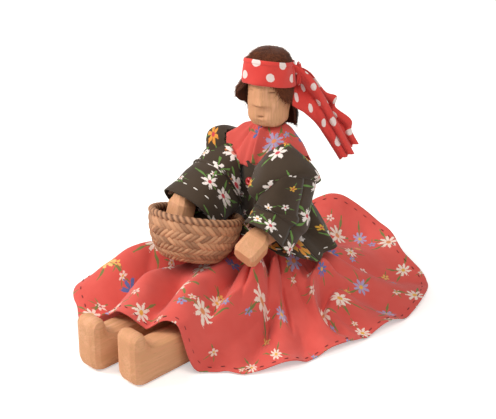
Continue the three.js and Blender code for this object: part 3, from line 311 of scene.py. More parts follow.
def new_finish(name, values):
    """A material with a Principled shader, its node tree and the shader's inputs, some set to values."""
    finish = bpy.data.materials.new(name)
    finish.use_nodes = True
    surface = finish.node_tree.nodes["Principled BSDF"].inputs
    for key, value in values.items():
        surface[key].default_value = value
    return finish, finish.node_tree, surface


# %% [markdown]
# ## Carved wood
# The head, hands and legs are whittled from a pale, fine-grained hardwood and left bare. Fibres run
# along each piece, with small pores that show as dots where the wood is cut across, as on the
# soles. A solid texture in Object coordinates, stretched along the grain, gives streaks on the
# sides and dots on the ends by itself.


# %% Wood
def carved_wood(name, grain):
    """Bare carved lime or beech: satin, warm tan, fibres about 0.5 mm wide and pores 0.8 mm apart."""
    finish, tree, surface = new_finish(name, {"Roughness": 0.62, "Specular IOR Level": 0.3})
    place = add(tree, "TexCoord")["Object"]
    stretched = add(tree, "Mapping", {"Vector": place, "Scale": grain})["Vector"]
    broad_stops = [(0.3, "#CC8F69"), (0.5, "#D69B76"), (0.72, "#DFA885")]
    broad = ramp(tree, noise(tree, stretched, scale=120, detail=3), broad_stops)
    fibres = noise(tree, stretched, scale=900, detail=4, roughness=0.65)
    streak = ranged(tree, fibres, 0.35, 0.62)
    cells = add(tree, "TexVoronoi", {"Vector": stretched, "Scale": 1250.0, "Randomness": 1.0})
    pore = ranged(tree, cells["Distance"], 0.08, 0.2)
    streaked = mix(tree, streak, "#C99569", broad)
    pored = mix(tree, pore, "#B98862", streaked)
    # Carved cuts, named by an attribute of the piece, are painted dark brown: painted shade in the recesses.
    painted_recess_shade = add(tree, "Attribute", attribute_name="carved_line")["Fac"]
    tree.links.new(mix(tree, painted_recess_shade, pored, "#6E4426"), surface["Base Color"])
    knife_marks = noise(tree, place, scale=210, detail=1)
    knife_cuts = raise_surface(tree, knife_marks, strength=0.18, distance=0.001)
    fine = calc(tree, "ADD", streak, pore)
    grainy = raise_surface(tree, fine, strength=0.35, distance=0.0002, Normal=knife_cuts)
    tree.links.new(grainy, surface["Normal"])
    return finish


upright_wood = carved_wood("carved_wood_upright", (1, 1, 0.05))
level_wood = carved_wood("carved_wood_level", (1, 0.05, 1))
for node_name, node_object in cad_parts.items():
    finish = level_wood if "leg" in node_name or "thigh" in node_name else upright_wood
    node_object.data.materials.clear()
    node_object.data.materials.append(finish)
print("wood on", len(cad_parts), "solid pieces, until cloth, straw and hair stand for some of them")

# %% [markdown]
# ## Printed cotton
# Skirt, scarf and jacket are thin cotton with a small-flower print. Real calico is a roller print
# of a few motifs. Here the flat cloth is divided into random cells, each cell carries one flower
# drawn in polar coordinates round its centre, and a random number per cell picks its colour.


# %% Cotton
def new_cotton(name, roughness):
    """Plain-weave cotton: matt, a soft sheen at grazing light, threads about 0.35 mm apart.
    Gives the finish, its tree, the input for its colour and the flat coordinates."""
    values = {"Roughness": roughness, "Specular IOR Level": 0.2, "Sheen Weight": 0.15}
    finish, tree, surface = new_finish(name, values)
    flat = add(tree, "UVMap", uv_map="flat_cloth")["UV"]
    waves = [add(tree, "TexWave", {"Vector": flat, "Scale": 0.9}, bands_direction=way)[0] for way in "XY"]
    crossing = calc(tree, "MULTIPLY", *waves)
    weave = raise_surface(tree, crossing, strength=0.18, distance=0.0002)
    tree.links.new(weave, surface["Normal"])
    return finish, tree, surface["Base Color"], flat


# %% Flower print
def flower_layer(tree, flat, cell, radius, petals, palette, hearts, offset, kept):
    """Flowers, one to a cell: petals where the distance is less than radius times a cosine of the angle.
    Gives masks and colours for petals, heart, leaves and stem."""
    scaled = vector(tree, "MULTIPLY_ADD", flat, (1 / cell,) * 3, offset)
    spacing = {"Vector": scaled, "Scale": 1.0, "Randomness": 0.62}
    cells = add(tree, "TexVoronoi", spacing, voronoi_dimensions="2D")
    luck = add(tree, "SeparateColor", {"Color": cells["Color"]})
    there = calc(tree, "LESS_THAN", luck[2], kept)
    apart = vector(tree, "SUBTRACT", scaled, cells["Position"])
    reach = calc(tree, "MULTIPLY", vector(tree, "LENGTH", apart), cell)
    xy = add(tree, "SeparateXYZ", {"Vector": apart})
    angle = calc(tree, "ARCTAN2", xy["Y"], xy["X"])
    turned = calc(tree, "ADD", angle, calc(tree, "MULTIPLY", luck[0], 6.283))
    size = ranged(tree, luck[1], 0, 1, 0.72 * radius, 1.1 * radius)
    share = calc(tree, "DIVIDE", reach, size)

    lobes = calc(tree, "COSINE", calc(tree, "MULTIPLY", turned, petals / 2))
    round_lobe = calc(tree, "POWER", calc(tree, "ABSOLUTE", lobes), 0.8)
    outline = ranged(tree, round_lobe, 0, 1, 0.16, 1.0)
    ragged = calc(tree, "MULTIPLY_ADD", noise(tree, flat, scale=0.9, detail=2), 0.9, -0.45)
    limit = calc(tree, "MULTIPLY", calc(tree, "ADD", outline, ragged), size)
    flower = ranged(tree, calc(tree, "SUBTRACT", limit, reach), -0.15, 0.2, 0, there)
    colour = ramp(tree, luck[0], palette, constant=True)
    heart = ranged(tree, share, 0.3, 0.2, 0, there)
    heart_colour = ramp(tree, luck[1], hearts, constant=True)

    lean = calc(tree, "SUBTRACT", calc(tree, "PINGPONG", turned, 2.2), 0.55)
    leaf_along = calc(tree, "MULTIPLY", calc(tree, "COSINE", lean), share)
    leaf_across = calc(tree, "MULTIPLY", calc(tree, "SINE", lean), share)
    far = calc(tree, "SUBTRACT", leaf_along, 1.5)
    wide = calc(tree, "MULTIPLY", leaf_across, 3.2)
    squares = (calc(tree, "MULTIPLY", length, length) for length in (far, wide))
    blade = ranged(tree, calc(tree, "ADD", *squares), 0.22, 0.16, 0, there)
    thin = ranged(tree, calc(tree, "ABSOLUTE", leaf_across), 0.08, 0.05, 0, there)
    stem = ranged(tree, leaf_along, 2.3, 2.2, 0, thin)
    return flower, colour, heart, heart_colour, calc(tree, "MAXIMUM", blade, stem)


def calico(name, ground, shade, palette, hearts, leaves, cell, radius, petals):
    """Printed cotton, with a layer of sparse small flowers under a layer of larger ones."""
    finish, tree, base, flat = new_cotton(name, 0.9)
    colour = mix(tree, noise(tree, flat, scale=0.11, detail=4), ground, shade)
    layers = [
        (0.55 * cell, 0.45 * radius, 5, palette[1], hearts[1], (7.3, 2.1, 0.0), 0.34),
        (cell, radius, petals, palette[0], hearts[0], (0.4, 0.7, 0.0), 0.85),
    ]
    for layer in layers:
        flower, petal, heart, heart_colour, leaf = flower_layer(tree, flat, *layer)
        colour = mix(tree, leaf, colour, leaves)
        colour = mix(tree, flower, colour, petal)
        colour = mix(tree, calc(tree, "MULTIPLY", heart, flower), colour, heart_colour)
    tree.links.new(colour, base)
    return finish


red_palette = [
    [(0.0, "#EBD6C8"), (0.5, "#5F6EA8"), (0.62, "#EBD8CA"), (0.8, "#E6BC78"), (0.9, "#A99BBD")],
    [(0.0, "#E5C9BC"), (0.4, "#8D93BC"), (0.6, "#E5C9BC"), (0.8, "#DDB060")],
]
red_hearts = [[(0.0, "#E3A84A"), (0.6, "#D98A5A")], [(0.0, "#D9A04A"), (0.5, "#B9505A")]]
red_calico = calico(
    "red_calico", "#D85F56", "#CE4F47", red_palette, red_hearts, "#757A45", cell=25, radius=6.0, petals=8
)
dark_palette = [
    [(0.0, "#EAE0DA"), (0.78, "#D9923F"), (0.86, "#EAE0DA")],
    [(0.0, "#E6DCD6"), (0.7, "#D8A33E"), (0.85, "#C97A4A")],
]
dark_hearts = [[(0.0, "#C2404A"), (0.6, "#D98A7A")], [(0.0, "#B9404A"), (0.5, "#D9A04A")]]
dark_calico = calico(
    "dark_calico", "#45382B", "#382C22", dark_palette, dark_hearts, "#5F8440", cell=19, radius=5.2, petals=6
)
print("two calico prints made")

# %% [markdown]
# ## Dotted cotton
# The headband is red cotton with off-white dots about 5 mm wide, in staggered rows 7.5 mm apart.
# Two square lattices, the second moved by half a step, give such rows.

# %% Dots
DOT_STEP = 15
dotted, dot_tree, dot_base, dot_flat = new_cotton("dotted_cotton", 0.88)
near = []
for shift in (0.0, 0.5):
    scale = (1 / DOT_STEP, 1 / DOT_STEP, 0)
    lattice = vector(dot_tree, "MULTIPLY_ADD", dot_flat, scale, (shift, shift, 0))
    part = vector(dot_tree, "FRACTION", lattice)
    near.append(vector(dot_tree, "LENGTH", vector(dot_tree, "SUBTRACT", part, (0.5, 0.5, 0))))
nearest = calc(dot_tree, "MINIMUM", *near)
dot_edge = calc(dot_tree, "MULTIPLY_ADD", noise(dot_tree, dot_flat, scale=0.8, detail=2), 0.04, nearest)
dot = ranged(dot_tree, dot_edge, 0.182, 0.168)
dot_ground = mix(dot_tree, noise(dot_tree, dot_flat, scale=0.12, detail=4), "#DB4A42", "#CF3B36")
dot_tree.links.new(mix(dot_tree, dot, dot_ground, "#EAD8D3"), dot_base)
print("dotted cotton made")

# %% [markdown]
# ## Plush, straw, bead and thread
# The wig is cut from brown plush, the basket is plaited from dyed straw, the jacket closes with one
# red bead, and the hems are sewn with cotton thread. Hair, straw and thread take a shade for
# each strand from an attribute, because no two strands are quite alike. On the basket the same
# attribute also holds painted shade in the gaps between the straws and the grooves of the rim.


# %% Plush, straw, bead and thread
def stranded(name, dark, light, rough, sheen, fibre):
    """A finish that varies from strand to strand by the attribute strand_shade, with fibres along each."""
    values = {"Roughness": rough, "Sheen Weight": sheen, "Specular IOR Level": 0.3}
    finish, tree, surface = new_finish(name, values)
    luck = add(tree, "Attribute", attribute_name="strand_shade")["Fac"]
    flat = add(tree, "UVMap", uv_map="flat_cloth")["UV"]
    stretched = add(tree, "Mapping", {"Vector": flat, "Scale": (0.12, 1, 1)})["Vector"]
    lines = noise(tree, stretched, scale=fibre, detail=3)
    varied = calc(tree, "ADD", luck, calc(tree, "MULTIPLY_ADD", lines, 0.5, -0.25))
    tree.links.new(ramp(tree, varied, [(0.0, dark), (1.0, light)]), surface["Base Color"])
    fibrous = raise_surface(tree, lines, strength=0.3, distance=0.0003)
    tree.links.new(fibrous, surface["Normal"])
    return finish


plush = stranded("dark_plush", "#2E1309", "#884827", rough=0.85, sheen=0.08, fibre=2.0)
straw = stranded("plaited_straw", "#4A2A1A", "#CB9772", rough=0.6, sheen=0.0, fibre=3.0)
bead, bead_tree, bead_surface = new_finish("red_bead", {"Roughness": 0.3, "Coat Weight": 0.4})
bead_cloud = noise(bead_tree, add(bead_tree, "TexCoord")["Object"], scale=700, detail=3)
bead_colour = ramp(bead_tree, bead_cloud, [(0.3, "#A8242A"), (0.7, "#C8353A")])
bead_tree.links.new(bead_colour, bead_surface["Base Color"])
thread, thread_tree, thread_surface = new_finish("cotton_thread", {"Roughness": 0.8})
thread_shade = add(thread_tree, "Attribute", attribute_name="strand_shade")["Fac"]
thread_stops = [(0.0, "#742A28"), (0.3, "#8C3431"), (0.7, "#D9D2C8"), (1.0, "#EDE7DF")]
thread_tree.links.new(ramp(thread_tree, thread_shade, thread_stops), thread_surface["Base Color"])
print("plush, straw, bead and thread made")

# %% [markdown]
# ## Stitches
# Hems and cuffs are held by a running stitch: short dashes of thread along a line on the cloth.
# The attribute that varies straw and hair also picks white thread or dark red.

# %% Stitch helper
WHITE_THREAD, RED_THREAD = (0.75, 1.0), (0.0, 0.25)
STITCH_STEPS, STITCH_SIDES = 7, 9
STITCH_RADIUS, STITCH_LIFT = 0.32, 0.2


def stitch_row(name, line, outward, dash, gap, shade):
    """Short tapered tubes of thread along a line of points, each lifted a little off the cloth."""
    steps = np.linalg.norm(np.diff(line, axis=0), axis=-1)
    length = np.concatenate([[0], np.cumsum(steps)])
    middles = np.arange(gap, length[-1] - dash, dash + gap)
    places = middles[:, None] + np.linspace(-dash / 2, dash / 2, STITCH_STEPS)
    path = grid(*(np.interp(places, length, line[:, k]) for k in range(3)))
    away = grid(*(np.interp(places, length, outward[:, k]) for k in range(3)))
    side = unit(np.cross(np.gradient(path, axis=1), away))
    turn = once_round(STITCH_SIDES)[:, None]
    taper = STITCH_RADIUS * np.sqrt(np.maximum(0, 1 - np.linspace(-1, 1, STITCH_STEPS) ** 4))
    ring = np.cos(turn) * side[:, :, None] + np.sin(turn) * away[:, :, None]
    tubes = (path + STITCH_LIFT * away)[:, :, None] + taper[None, :, None, None] * ring
    shades = np.random.default_rng(len(middles)).uniform(*shade, len(middles))
    per_point = np.repeat(shades, STITCH_STEPS * STITCH_SIDES)
    return make_piece(name, [(tubes, None)], thread, weld=False, strand_shade=per_point)


# %% [markdown]
# ## Skirt
# The skirt is gathered at the waist, lies over the legs in broad flutes and spreads on the floor at
# the sides and back. Simulating it would leave the folds to chance, so its shape is worked out: a
# height above the floor for each direction and each share of the way from waist to hem, with
# crests and valleys where the photograph shows them. In front the flutes run parallel over the
# legs. At the sides and behind they fan out from the waist.

# %% Skirt outline
THIN_CLOTH = 0.5
WAIST_TOP = 50
WAIST_CUT, SKIRT_CUT = 13, 103
SKIRT_LIFT = 0.9
LOWEST_FOLD = 0.6
SKIRT_COLUMNS, SKIRT_ROWS = 433, 73
NEAR_LEGS = [
    (238, 0), (249, 8), (257, 6), (267, 8), (275, 3), (281, 2), (288, 5), (293, 3), (298, 3), (306, 6),
    (318, 5), (340, 0),
]  # fmt: skip


def skirt_reach(degrees):
    """Distance of the hem from the middle of the doll: a mean circle, slow waves, two bells, a notch and
    small corrections near the legs."""
    turn = np.radians(degrees)
    slow = 3 * np.cos(turn - np.radians(65)) + 11 * np.cos(2 * (turn - np.radians(62)))
    lobes = 6 * np.cos(3 * (turn - np.radians(75)))
    bells = 18 * bell(degrees, 268, 28) + 25 * bell(degrees, 234, 17) - 8 * bell(degrees, 72, 9)
    return 78 + slow + lobes + bells + eased(NEAR_LEGS, degrees)


# %% Skirt folds
side_folds = [
    (0, 0.3), (5, 0.1), (17, 1), (29, 0.1), (43, 0.9), (57, 0), (72, 0.9), (88, 0.1), (104, 1), (118, 0.1),
    (134, 1), (147, 0.1), (160, 0.9), (174, 0), (187, 1), (201, 0.1), (214, 0.9), (224, 0.3), (238, 1),
    (300, 0.6), (309, 0.05), (321, 0.9), (333, 0), (346, 0.8), (360, 0.3),
]  # fmt: skip
front_folds = [
    (-80, 0.1), (-50, 0.9), (-23, 0), (-9, 1), (6, 0), (20, 1.1), (36, 0), (50, 1.3), (62, 0), (74, 0.6),
    (88, 0),
]  # fmt: skip
row_shares = np.linspace(0, 1, SKIRT_ROWS) ** 1.05
turn, share = np.meshgrid(np.radians(np.linspace(0, 360, SKIRT_COLUMNS)), row_shares)
degrees = np.degrees(turn)
waist_reach = np.hypot(*oval(turn, 12.5, 10, 2.4)) + SKIRT_LIFT
reach = waist_reach + (skirt_reach(degrees) - waist_reach) * share
x, y = reach * np.cos(turn), reach * np.sin(turn)
fluted = smooth((-y - 10) / 22) * (1 - smooth((x - 38) / 24)) * (1 - smooth((-x - 52) / 20))
flute = np.maximum(0, eased(front_folds, x + 0.45 * (y + 98))) ** 0.6
fan = np.maximum(0, eased(side_folds, degrees)) ** 0.7
fold = fluted * flute + (1 - fluted) * fan

# %% Skirt off the legs
settled = 1 - 0.85 * smooth((share - 0.78) / 0.22) * smooth((x - 24) / 8) * fluted
full = np.sin(np.pi * np.minimum(0.74, 0.92 * share)) * np.minimum(1, 3 * share) * settled
side_ridge = 33 * bell(degrees, 214 + 14 * share, 11 + 4 * share) * np.minimum(1, 2.2 * share)
side_ridge = side_ridge * np.sin(np.pi * (0.12 + 0.78 * share))
back = 30 * bell(degrees, 108, 30) * share**2
steep = 2 + 1.2 * np.maximum(0, -np.sin(turn))
free = (WAIST_TOP - SKIRT_LIFT) * (1 - share) ** steep + side_ridge + back + 7 * fold * full

# %% Skirt over the legs
drape = np.where(x < 0, 10 + 9 * smooth((-y - 25) / 40), 11)
over_legs = (1 - smooth((np.abs(x) - 21.5) / drape)) * (1 - smooth((y + 12.5) / 25))
lap = 22.3 + 5 * smooth((y + 62) / 30) + 4.5 * hump(x, -13, 15) * hump(y, -46, 17)
below_hand = 1 - 0.5 * hump(x, 22, 11) * hump(y, -44, 13)
below_basket = 1 - 0.75 * hump(x, -14, 17) * hump(y, -44, 19)
near_hem = 1 - 0.5 * smooth((share - 0.62) / 0.38)
crest = 14.5 * below_hand * near_hem * below_basket * smooth(4 * share)
on_legs = (lap + crest * fold) * over_legs + 9 * fold * full * (1 - over_legs) * fluted

# %% Skirt
creased = np.sqrt(np.abs(np.sin(np.radians(degrees * 11.5)))) - 0.7
pleats = 13 * below_hand * creased * bell(degrees, 313, 30) * np.sin(np.pi * np.clip(share / 0.7, 0, 1))
gathers = 0.9 * np.cos(46 * turn + 2 * np.sin(3 * turn)) * np.exp(-share / 0.16) * smooth(share / 0.05)
bunch_x, bunch_y = x - 52, y - 8
bunch_reach = np.hypot(bunch_x, bunch_y)
curl = bell(np.degrees(np.arctan2(bunch_y, bunch_x)), 205, 62)
bunch = (10 * hump(bunch_reach, 19, 2.8) - 9 * hump(bunch_reach, 14, 2.8)) * curl
wrinkles = (0.35 * ripples(x, y, 26, 1) + 0.15 * ripples(x, y, 11, 2)) * smooth(3 * share)
height = np.maximum(free, on_legs) + pleats + gathers + bunch + wrinkles
skirt_points = grid(x, y, np.maximum(height, LOWEST_FOLD) + SKIRT_LIFT)
steps = np.linalg.norm(np.diff(skirt_points, axis=0), axis=-1)
along = waist_reach[:1] + np.concatenate([np.zeros((1, SKIRT_COLUMNS)), np.cumsum(steps, 0)])
skirt = make_piece("printed_skirt", [(skirt_points, polar(along, turn))], red_calico)
thicken(skirt, THIN_CLOTH)
dress(skirt, "torso", "red_calico", "skirt")
skirt_width = 2 * SKIRT_CUT
circle_cut = np.pi * (SKIRT_CUT**2 - WAIST_CUT**2)
under_skirt = ("torso", "thigh_left", "thigh_right")
declare_cut(skirt, skirt_width, skirt_width, "gathered", *under_skirt, area=circle_cut)
skirt_hem = skirt_points[-4]
hem_up = np.full(skirt_hem.shape, (0, 0, 1.0))
skirt_stitches = stitch_row("skirt_hem_stitches", skirt_hem, hem_up, dash=2.6, gap=4.4, shade=RED_THREAD)
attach(skirt_stitches, "torso")

# %% [markdown]
# ## Jacket
# The jacket hugs the chest in front, and behind it widens evenly from the shoulders to the hem. It
# is a stack of rings that go from superellipses at the chest to fuller ovals at the hem. Its wide
# neckline was cut with pinking shears, so the top edge runs in small teeth, and in front the
# doll's left side closes over the right.

# %% Jacket body
JACKET_CLOTH = 0.6
CHEST_WIDE, CHEST_DEEP = 16.1, 14.1
HEM_WIDE, HEM_FRONT, HEM_REAR = 36.5, 16.5, 33
TOOTH = 0.7


def jacket_points(level, angle):
    """Rings of the jacket: level 0 is the hem, 1 the end of the flare and 2 the neckline."""
    share = np.clip(level, 0, 1)
    flare = (1 - share) ** 1.2
    front = np.maximum(0, -np.sin(angle))
    rear = np.maximum(0, np.sin(angle))
    degrees = np.degrees(angle) % 360
    hem_depth = np.where(np.sin(angle) < 0, HEM_FRONT, HEM_REAR)
    wide = CHEST_WIDE + (HEM_WIDE - CHEST_WIDE) * flare
    deep = CHEST_DEEP + (hem_depth - CHEST_DEEP) * flare
    swing = np.cos(11 * angle) + 0.5 * np.cos(7 * angle + 1.3)
    fold = 1 + flare * 1.5 * swing / wide
    ring_x, ring_y = oval(angle, wide * fold, deep * fold, 3 - 0.8 * flare)
    neck = 88 + 2 * front**2 - 5 * rear**2 + TOOTH * zigzag(angle * 26 / np.pi)
    flare_top = 51 + 28 * smooth((np.sin(angle) - 0.4) / 0.4) + 9 * bell(degrees, 192, 26)
    hem = 39.5 + 1.5 * front
    low = hem + (flare_top - hem) * share + 5 * flare * front
    ring_z = np.where(level <= 1, low, flare_top + (neck - flare_top) * (level - 1))
    creases = 0.35 * ripples(angle * 16, ring_z, 13, 5) * np.clip(1.6 - np.abs(level - 1), 0.3, 1)
    lapped = 0.9 * smooth((degrees - 272) / 2) * (1 - smooth((degrees - 280) / 30))
    outward = 1 + (creases + lapped) / np.hypot(ring_x, ring_y)
    return grid(ring_x * outward, ring_y * outward, ring_z)


level, angle = np.meshgrid(np.linspace(0, 2, 61), once_round(313), indexing="ij")
jacket_grid = jacket_points(level, angle)
jacket_flat = grid(angle * 19, jacket_grid[..., 2] * 1.1)

# %% [markdown]
# ## Shoulders
# The jacket is cut in one with its shoulders, which lie over the tops of the sleeves. Each shoulder
# is a small curved panel from the pinked neckline outward, given by four rows of measured points.

# %% Shoulder panels
PANEL_DOWN, PANEL_ALONG = 30, 91


def panel(rows):
    """A smooth sheet through rows of measured points, with teeth along its first edge."""
    across = spline(np.asarray(rows, float).swapaxes(0, 1), PANEL_ALONG).swapaxes(0, 1)
    sheet = spline(across, PANEL_DOWN)
    teeth = TOOTH * zigzag(np.linspace(0, 1, PANEL_ALONG) * 30)
    first = np.linspace(1, 0, PANEL_DOWN)[:, None, None] ** 8
    return sheet + first * teeth[None, :, None] * unit(sheet[:1] - sheet[1:2])


left_shoulder = panel([
    [(4, -15.6, 90), (9, -10.5, 99), (15.5, -2.5, 103.5), (20.5, 2.5, 96), (25.5, 6, 89.5)],
    [(8.5, -21.5, 90), (16, -19, 97.5), (23, -6, 101), (27, 2, 95.5), (28.5, 6.5, 87)],
    [(12.5, -29.5, 82.5), (24, -26.5, 91.5), (33, -10, 94), (34, 2, 89), (31, 8, 83)],
    [(17, -26, 76), (25, -22, 84), (29.5, -9, 86), (30, 1, 83), (27, 5, 79)],
])  # fmt: skip
right_shoulder = panel([
    [(-16, -15.8, 87.5), (-19.5, -15, 93), (-22.5, -12, 102), (-20, -2, 101), (-18, 8, 93),
     (-16, 13.5, 85)],
    [(-17, -19, 85), (-23, -18, 93.5), (-29, -11.5, 103), (-28, 0, 99), (-25, 9, 89.5), (-20, 14, 82)],
    [(-17.5, -23, 80), (-27, -22.5, 92), (-36, -13, 98), (-36, -1, 91.5), (-32, 9, 83.5),
     (-24, 14.5, 78)],
    [(-18, -20, 75), (-27, -19, 84), (-32, -12, 87), (-31, -1, 84), (-28, 6, 78), (-22, 11, 74)],
])  # fmt: skip
shoulder_flat = grid(np.linspace(0, 46, PANEL_ALONG)[None], np.linspace(128, 102, PANEL_DOWN)[:, None])
jacket_patches = [
    (jacket_grid, jacket_flat),
    (left_shoulder, shoulder_flat + [210, 0]),
    (right_shoulder, shoulder_flat + [330, 5]),
]
jacket = make_piece("printed_jacket", jacket_patches, dark_calico)
thicken(jacket, JACKET_CLOTH)
dress(jacket, "torso", "dark_calico", "jacket_body")
# The cut area is the body's mean width times its height, and the two shoulder panels.
jacket_cut = 152 * 53 + 50 * 27 + 62 * 24
declare_cut(jacket, 212, 53, "hung", "torso", area=jacket_cut)
jacket_hem = jacket_grid[3]
hem_out = unit(jacket_hem * np.array([1, 1, 0]))
jacket_stitches = stitch_row(
    "jacket_hem_stitches", jacket_hem, hem_out, dash=3.4, gap=5.2, shade=WHITE_THREAD
)
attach(jacket_stitches, "torso")

# %% [markdown]
# ## Sleeves
# Each sleeve is a wide tube, cut straight, that hangs from the shoulder to a slanted cuff and
# bridges the crook of the bent arm. Rings stand at the cap, round the elbow and at the cuff, and a
# spline runs through them.

# %% Sleeves
SHOULDER_LEVEL = 83
UPPER_ARM = 22
SLEEVE_GAP = 0.6
JACKET_SIDE, JACKET_FRONT = 16.6, -14.6


def sleeve_rings(angle, swing, pitch, crook, slack, inner, outer, cap_rise, cuff_reach):
    """Rings across the arm: each centre sits behind the inner corner of the elbow by half the depth."""
    swing, pitch = np.radians(swing), np.radians(pitch)
    up = np.array([0, np.sin(swing), np.cos(swing)])
    backward = np.array([0, np.cos(swing), -np.sin(swing)])
    forward = np.array([0, -np.cos(pitch), np.sin(pitch)])
    below = np.array([0, -np.sin(pitch), -np.cos(pitch)])
    bend = np.arccos(up @ forward)
    elbow = np.array([(inner + outer) / 2, 0, SHOULDER_LEVEL]) - up * UPPER_ARM
    pivot = elbow + (up + forward) * crook / np.sin(bend)
    deep = (crook + slack) / 2
    stations = []
    for part, size in [(1, 0.3), (0.97, 0.6), (0.9, 0.8), (0.8, 0.92), (0.6, 0.99), (0.3, 1)]:
        centre = pivot + backward * (deep + SLEEVE_GAP) + up * part * cap_rise
        stations.append((centre, backward, size, size, 0))
    for part in (0, 0.25, 0.5, 0.75, 1):
        out = unit(backward + (below - backward) * part)
        size = 1 + 0.1 * np.sin(part * np.pi)
        stations.append((pivot + out * (deep * size + SLEEVE_GAP), out, size, size, 0))
    for past in (0.5, 1):
        stations.append((pivot + below * (deep + SLEEVE_GAP), below, 1 + 0.15 * past, 1, past))
    rings = []
    for centre, out, wide, size, past in stations:
        ring_x, ring_y = oval(angle, (outer - inner) / 2 * wide, deep * size, 2.7)
        reach = cuff_reach[0] + (cuff_reach[1] - cuff_reach[0]) * (ring_y / (deep * size) + 1) / 2
        ring = centre + ring_y[:, None] * out + (past * reach)[:, None] * forward
        ring[:, 0] += ring_x
        rings.append(ring)
    return np.array(rings), elbow, up, forward


def make_sleeve(label, side, shape, cut, seed):
    """A lightly wrinkled tube through the rings, kept outside the jacket's side."""
    angle = once_round(97)
    rings, elbow, up, forward = sleeve_rings(angle, **shape)
    tube = spline(rings, 80)
    middle = tube.mean(1, keepdims=True)
    out = tube - middle
    radius = np.linalg.norm(out, axis=-1, keepdims=True)
    length = np.concatenate([[0], np.cumsum(np.linalg.norm(np.diff(middle[:, 0], axis=0), axis=-1))])
    across, along = np.meshgrid(angle * 11.5, length)
    wrinkle = 0.3 * ripples(across, along * 1.3, 17, seed) * smooth(along / 20)
    creased = tube + out / np.maximum(radius, 1) * wrinkle[..., None]
    beside = (creased[..., 1] > JACKET_FRONT) & (creased[..., 0] < JACKET_SIDE)
    creased[..., 0] = side * np.where(beside, JACKET_SIDE, creased[..., 0])
    flat = grid(across + 70 * seed, along * 1.15)
    sleeve = make_piece("sleeve_cloth_" + label, [(creased, flat)], dark_calico)
    thicken(sleeve, JACKET_CLOTH)
    cuff = creased[-5]
    cuff_out = unit(cuff - cuff.mean(0))
    stitches = stitch_row("cuff_stitches_" + label, cuff, cuff_out, dash=3.2, gap=4.6, shade=WHITE_THREAD)
    for cloth in (sleeve, stitches):
        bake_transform(cloth)
    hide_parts("sleeve_" + label)
    declare_cut(sleeve, *cut, "hung", "upper_arm_" + label, "forearm_" + label)


left_arm = {
    "swing": 18, "pitch": -45, "crook": 26, "slack": 7.5,
    "inner": 12.5, "outer": 33.5, "cap_rise": 23, "cuff_reach": (10, 13),
}  # fmt: skip
right_arm = {
    "swing": 60, "pitch": -27, "crook": 19, "slack": 15,
    "inner": 7.5, "outer": 36.2, "cap_rise": 27, "cuff_reach": (25, 20),
}  # fmt: skip
make_sleeve("left", 1, left_arm, cut=(100, 52), seed=11)
make_sleeve("right", -1, right_arm, cut=(116, 64), seed=12)

# %% [markdown]
# ## Scarf
# A wide red scarf is laid round the neck, over the shoulders and under the jacket's neckline. It is
# one strip in a turn and a bit, so that the left end lies over the right end in front and shows
# its edge there. Its lower edge is measured as distance and height in directions round the neck.

# %% Scarf
SCARF_TOP = 110.3
NECK_REACH = 7.6
SCARF_END = 676
scarf_edge = np.array([
    (0, 17, 98), (25, 21, 93.5), (40, 22.5, 88.5), (62, 19, 85.5), (90, 16.8, 84.5), (120, 19, 86),
    (150, 22, 95), (180, 23, 101), (208, 25.3, 100.8), (219, 24.4, 92), (230, 20.5, 87.5),
    (246, 15.5, 87), (270, 12.6, 86.5), (300, 14, 90), (330, 15.5, 95.5), (360, 17, 98),
])  # fmt: skip
start, share = np.meshgrid(np.linspace(0, 1, 217), np.linspace(0, 1, 33))
first = 292 - 16 * share
from_first = start * (SCARF_END - first)
scarf_turn = np.radians(first + from_first)
around_neck = (first + from_first) % 360
edge_reach = eased(scarf_edge[:, [0, 1]], around_neck)
edge_level = eased(scarf_edge[:, [0, 2]], around_neck)
rolled_edge = hump(from_first, 0, 8)
over = (1.6 * smooth(1 - start * 2.4) + 3.2 * rolled_edge) * smooth(share * 4)
scarf_reach = NECK_REACH + (edge_reach - NECK_REACH) * share**0.85 + over
crease = 0.3 * np.sin(share * np.pi) * np.cos(9 * scarf_turn)
crease = crease + 0.3 * ripples(scarf_turn * 12, share * 16, 9, 21)
inner = smooth(start * 8 - 5)
groove = 4.5 * hump(around_neck, 228 - 8 * share, 3.5) * np.sin(share * np.pi)
groove = groove + 4 * inner * hump(around_neck, first - 4, 6) * smooth(share * 3)
scarf_z = SCARF_TOP - (SCARF_TOP - edge_level) * share**1.15 + crease + over - groove
scarf_flat = grid(scarf_turn * 13 + 331, share * 20 + 7)
scarf = make_piece("printed_scarf", [(polar(scarf_reach, scarf_turn, scarf_z), scarf_flat)], red_calico)
thicken(scarf, THIN_CLOTH)
dress(scarf, "torso", "red_calico", "neck_scarf")
declare_cut(scarf, 115, 23, "laid", "torso")

# %% [markdown]
# ## Hidden parts of the dress
# Under the jacket the dress has a plain bodice and a waistband, a strip folded double. They hardly
# show, but the jacket can be lifted off in an edit, so they are proper cloth as well.

# %% Bodice and waistband
TUBE_COLUMNS = 97


def body_tube(levels, offset):
    """Rings round the torso at the given heights: the torso's own superellipse, moved outward."""
    heights = np.array([22.2, 48, 72, 88, 100])
    widths = np.interp(levels, heights, [34, 24, 25, 25, 17]) / 2 + offset
    depths = np.interp(levels, heights, [25, 19, 21, 21, 15]) / 2 + offset
    angle = once_round(TUBE_COLUMNS)
    tube_x, tube_y = oval(angle[None], widths[:, None], depths[:, None], 3)
    return grid(tube_x, tube_y, levels[:, None]), grid(angle[None] * 13, levels[:, None])


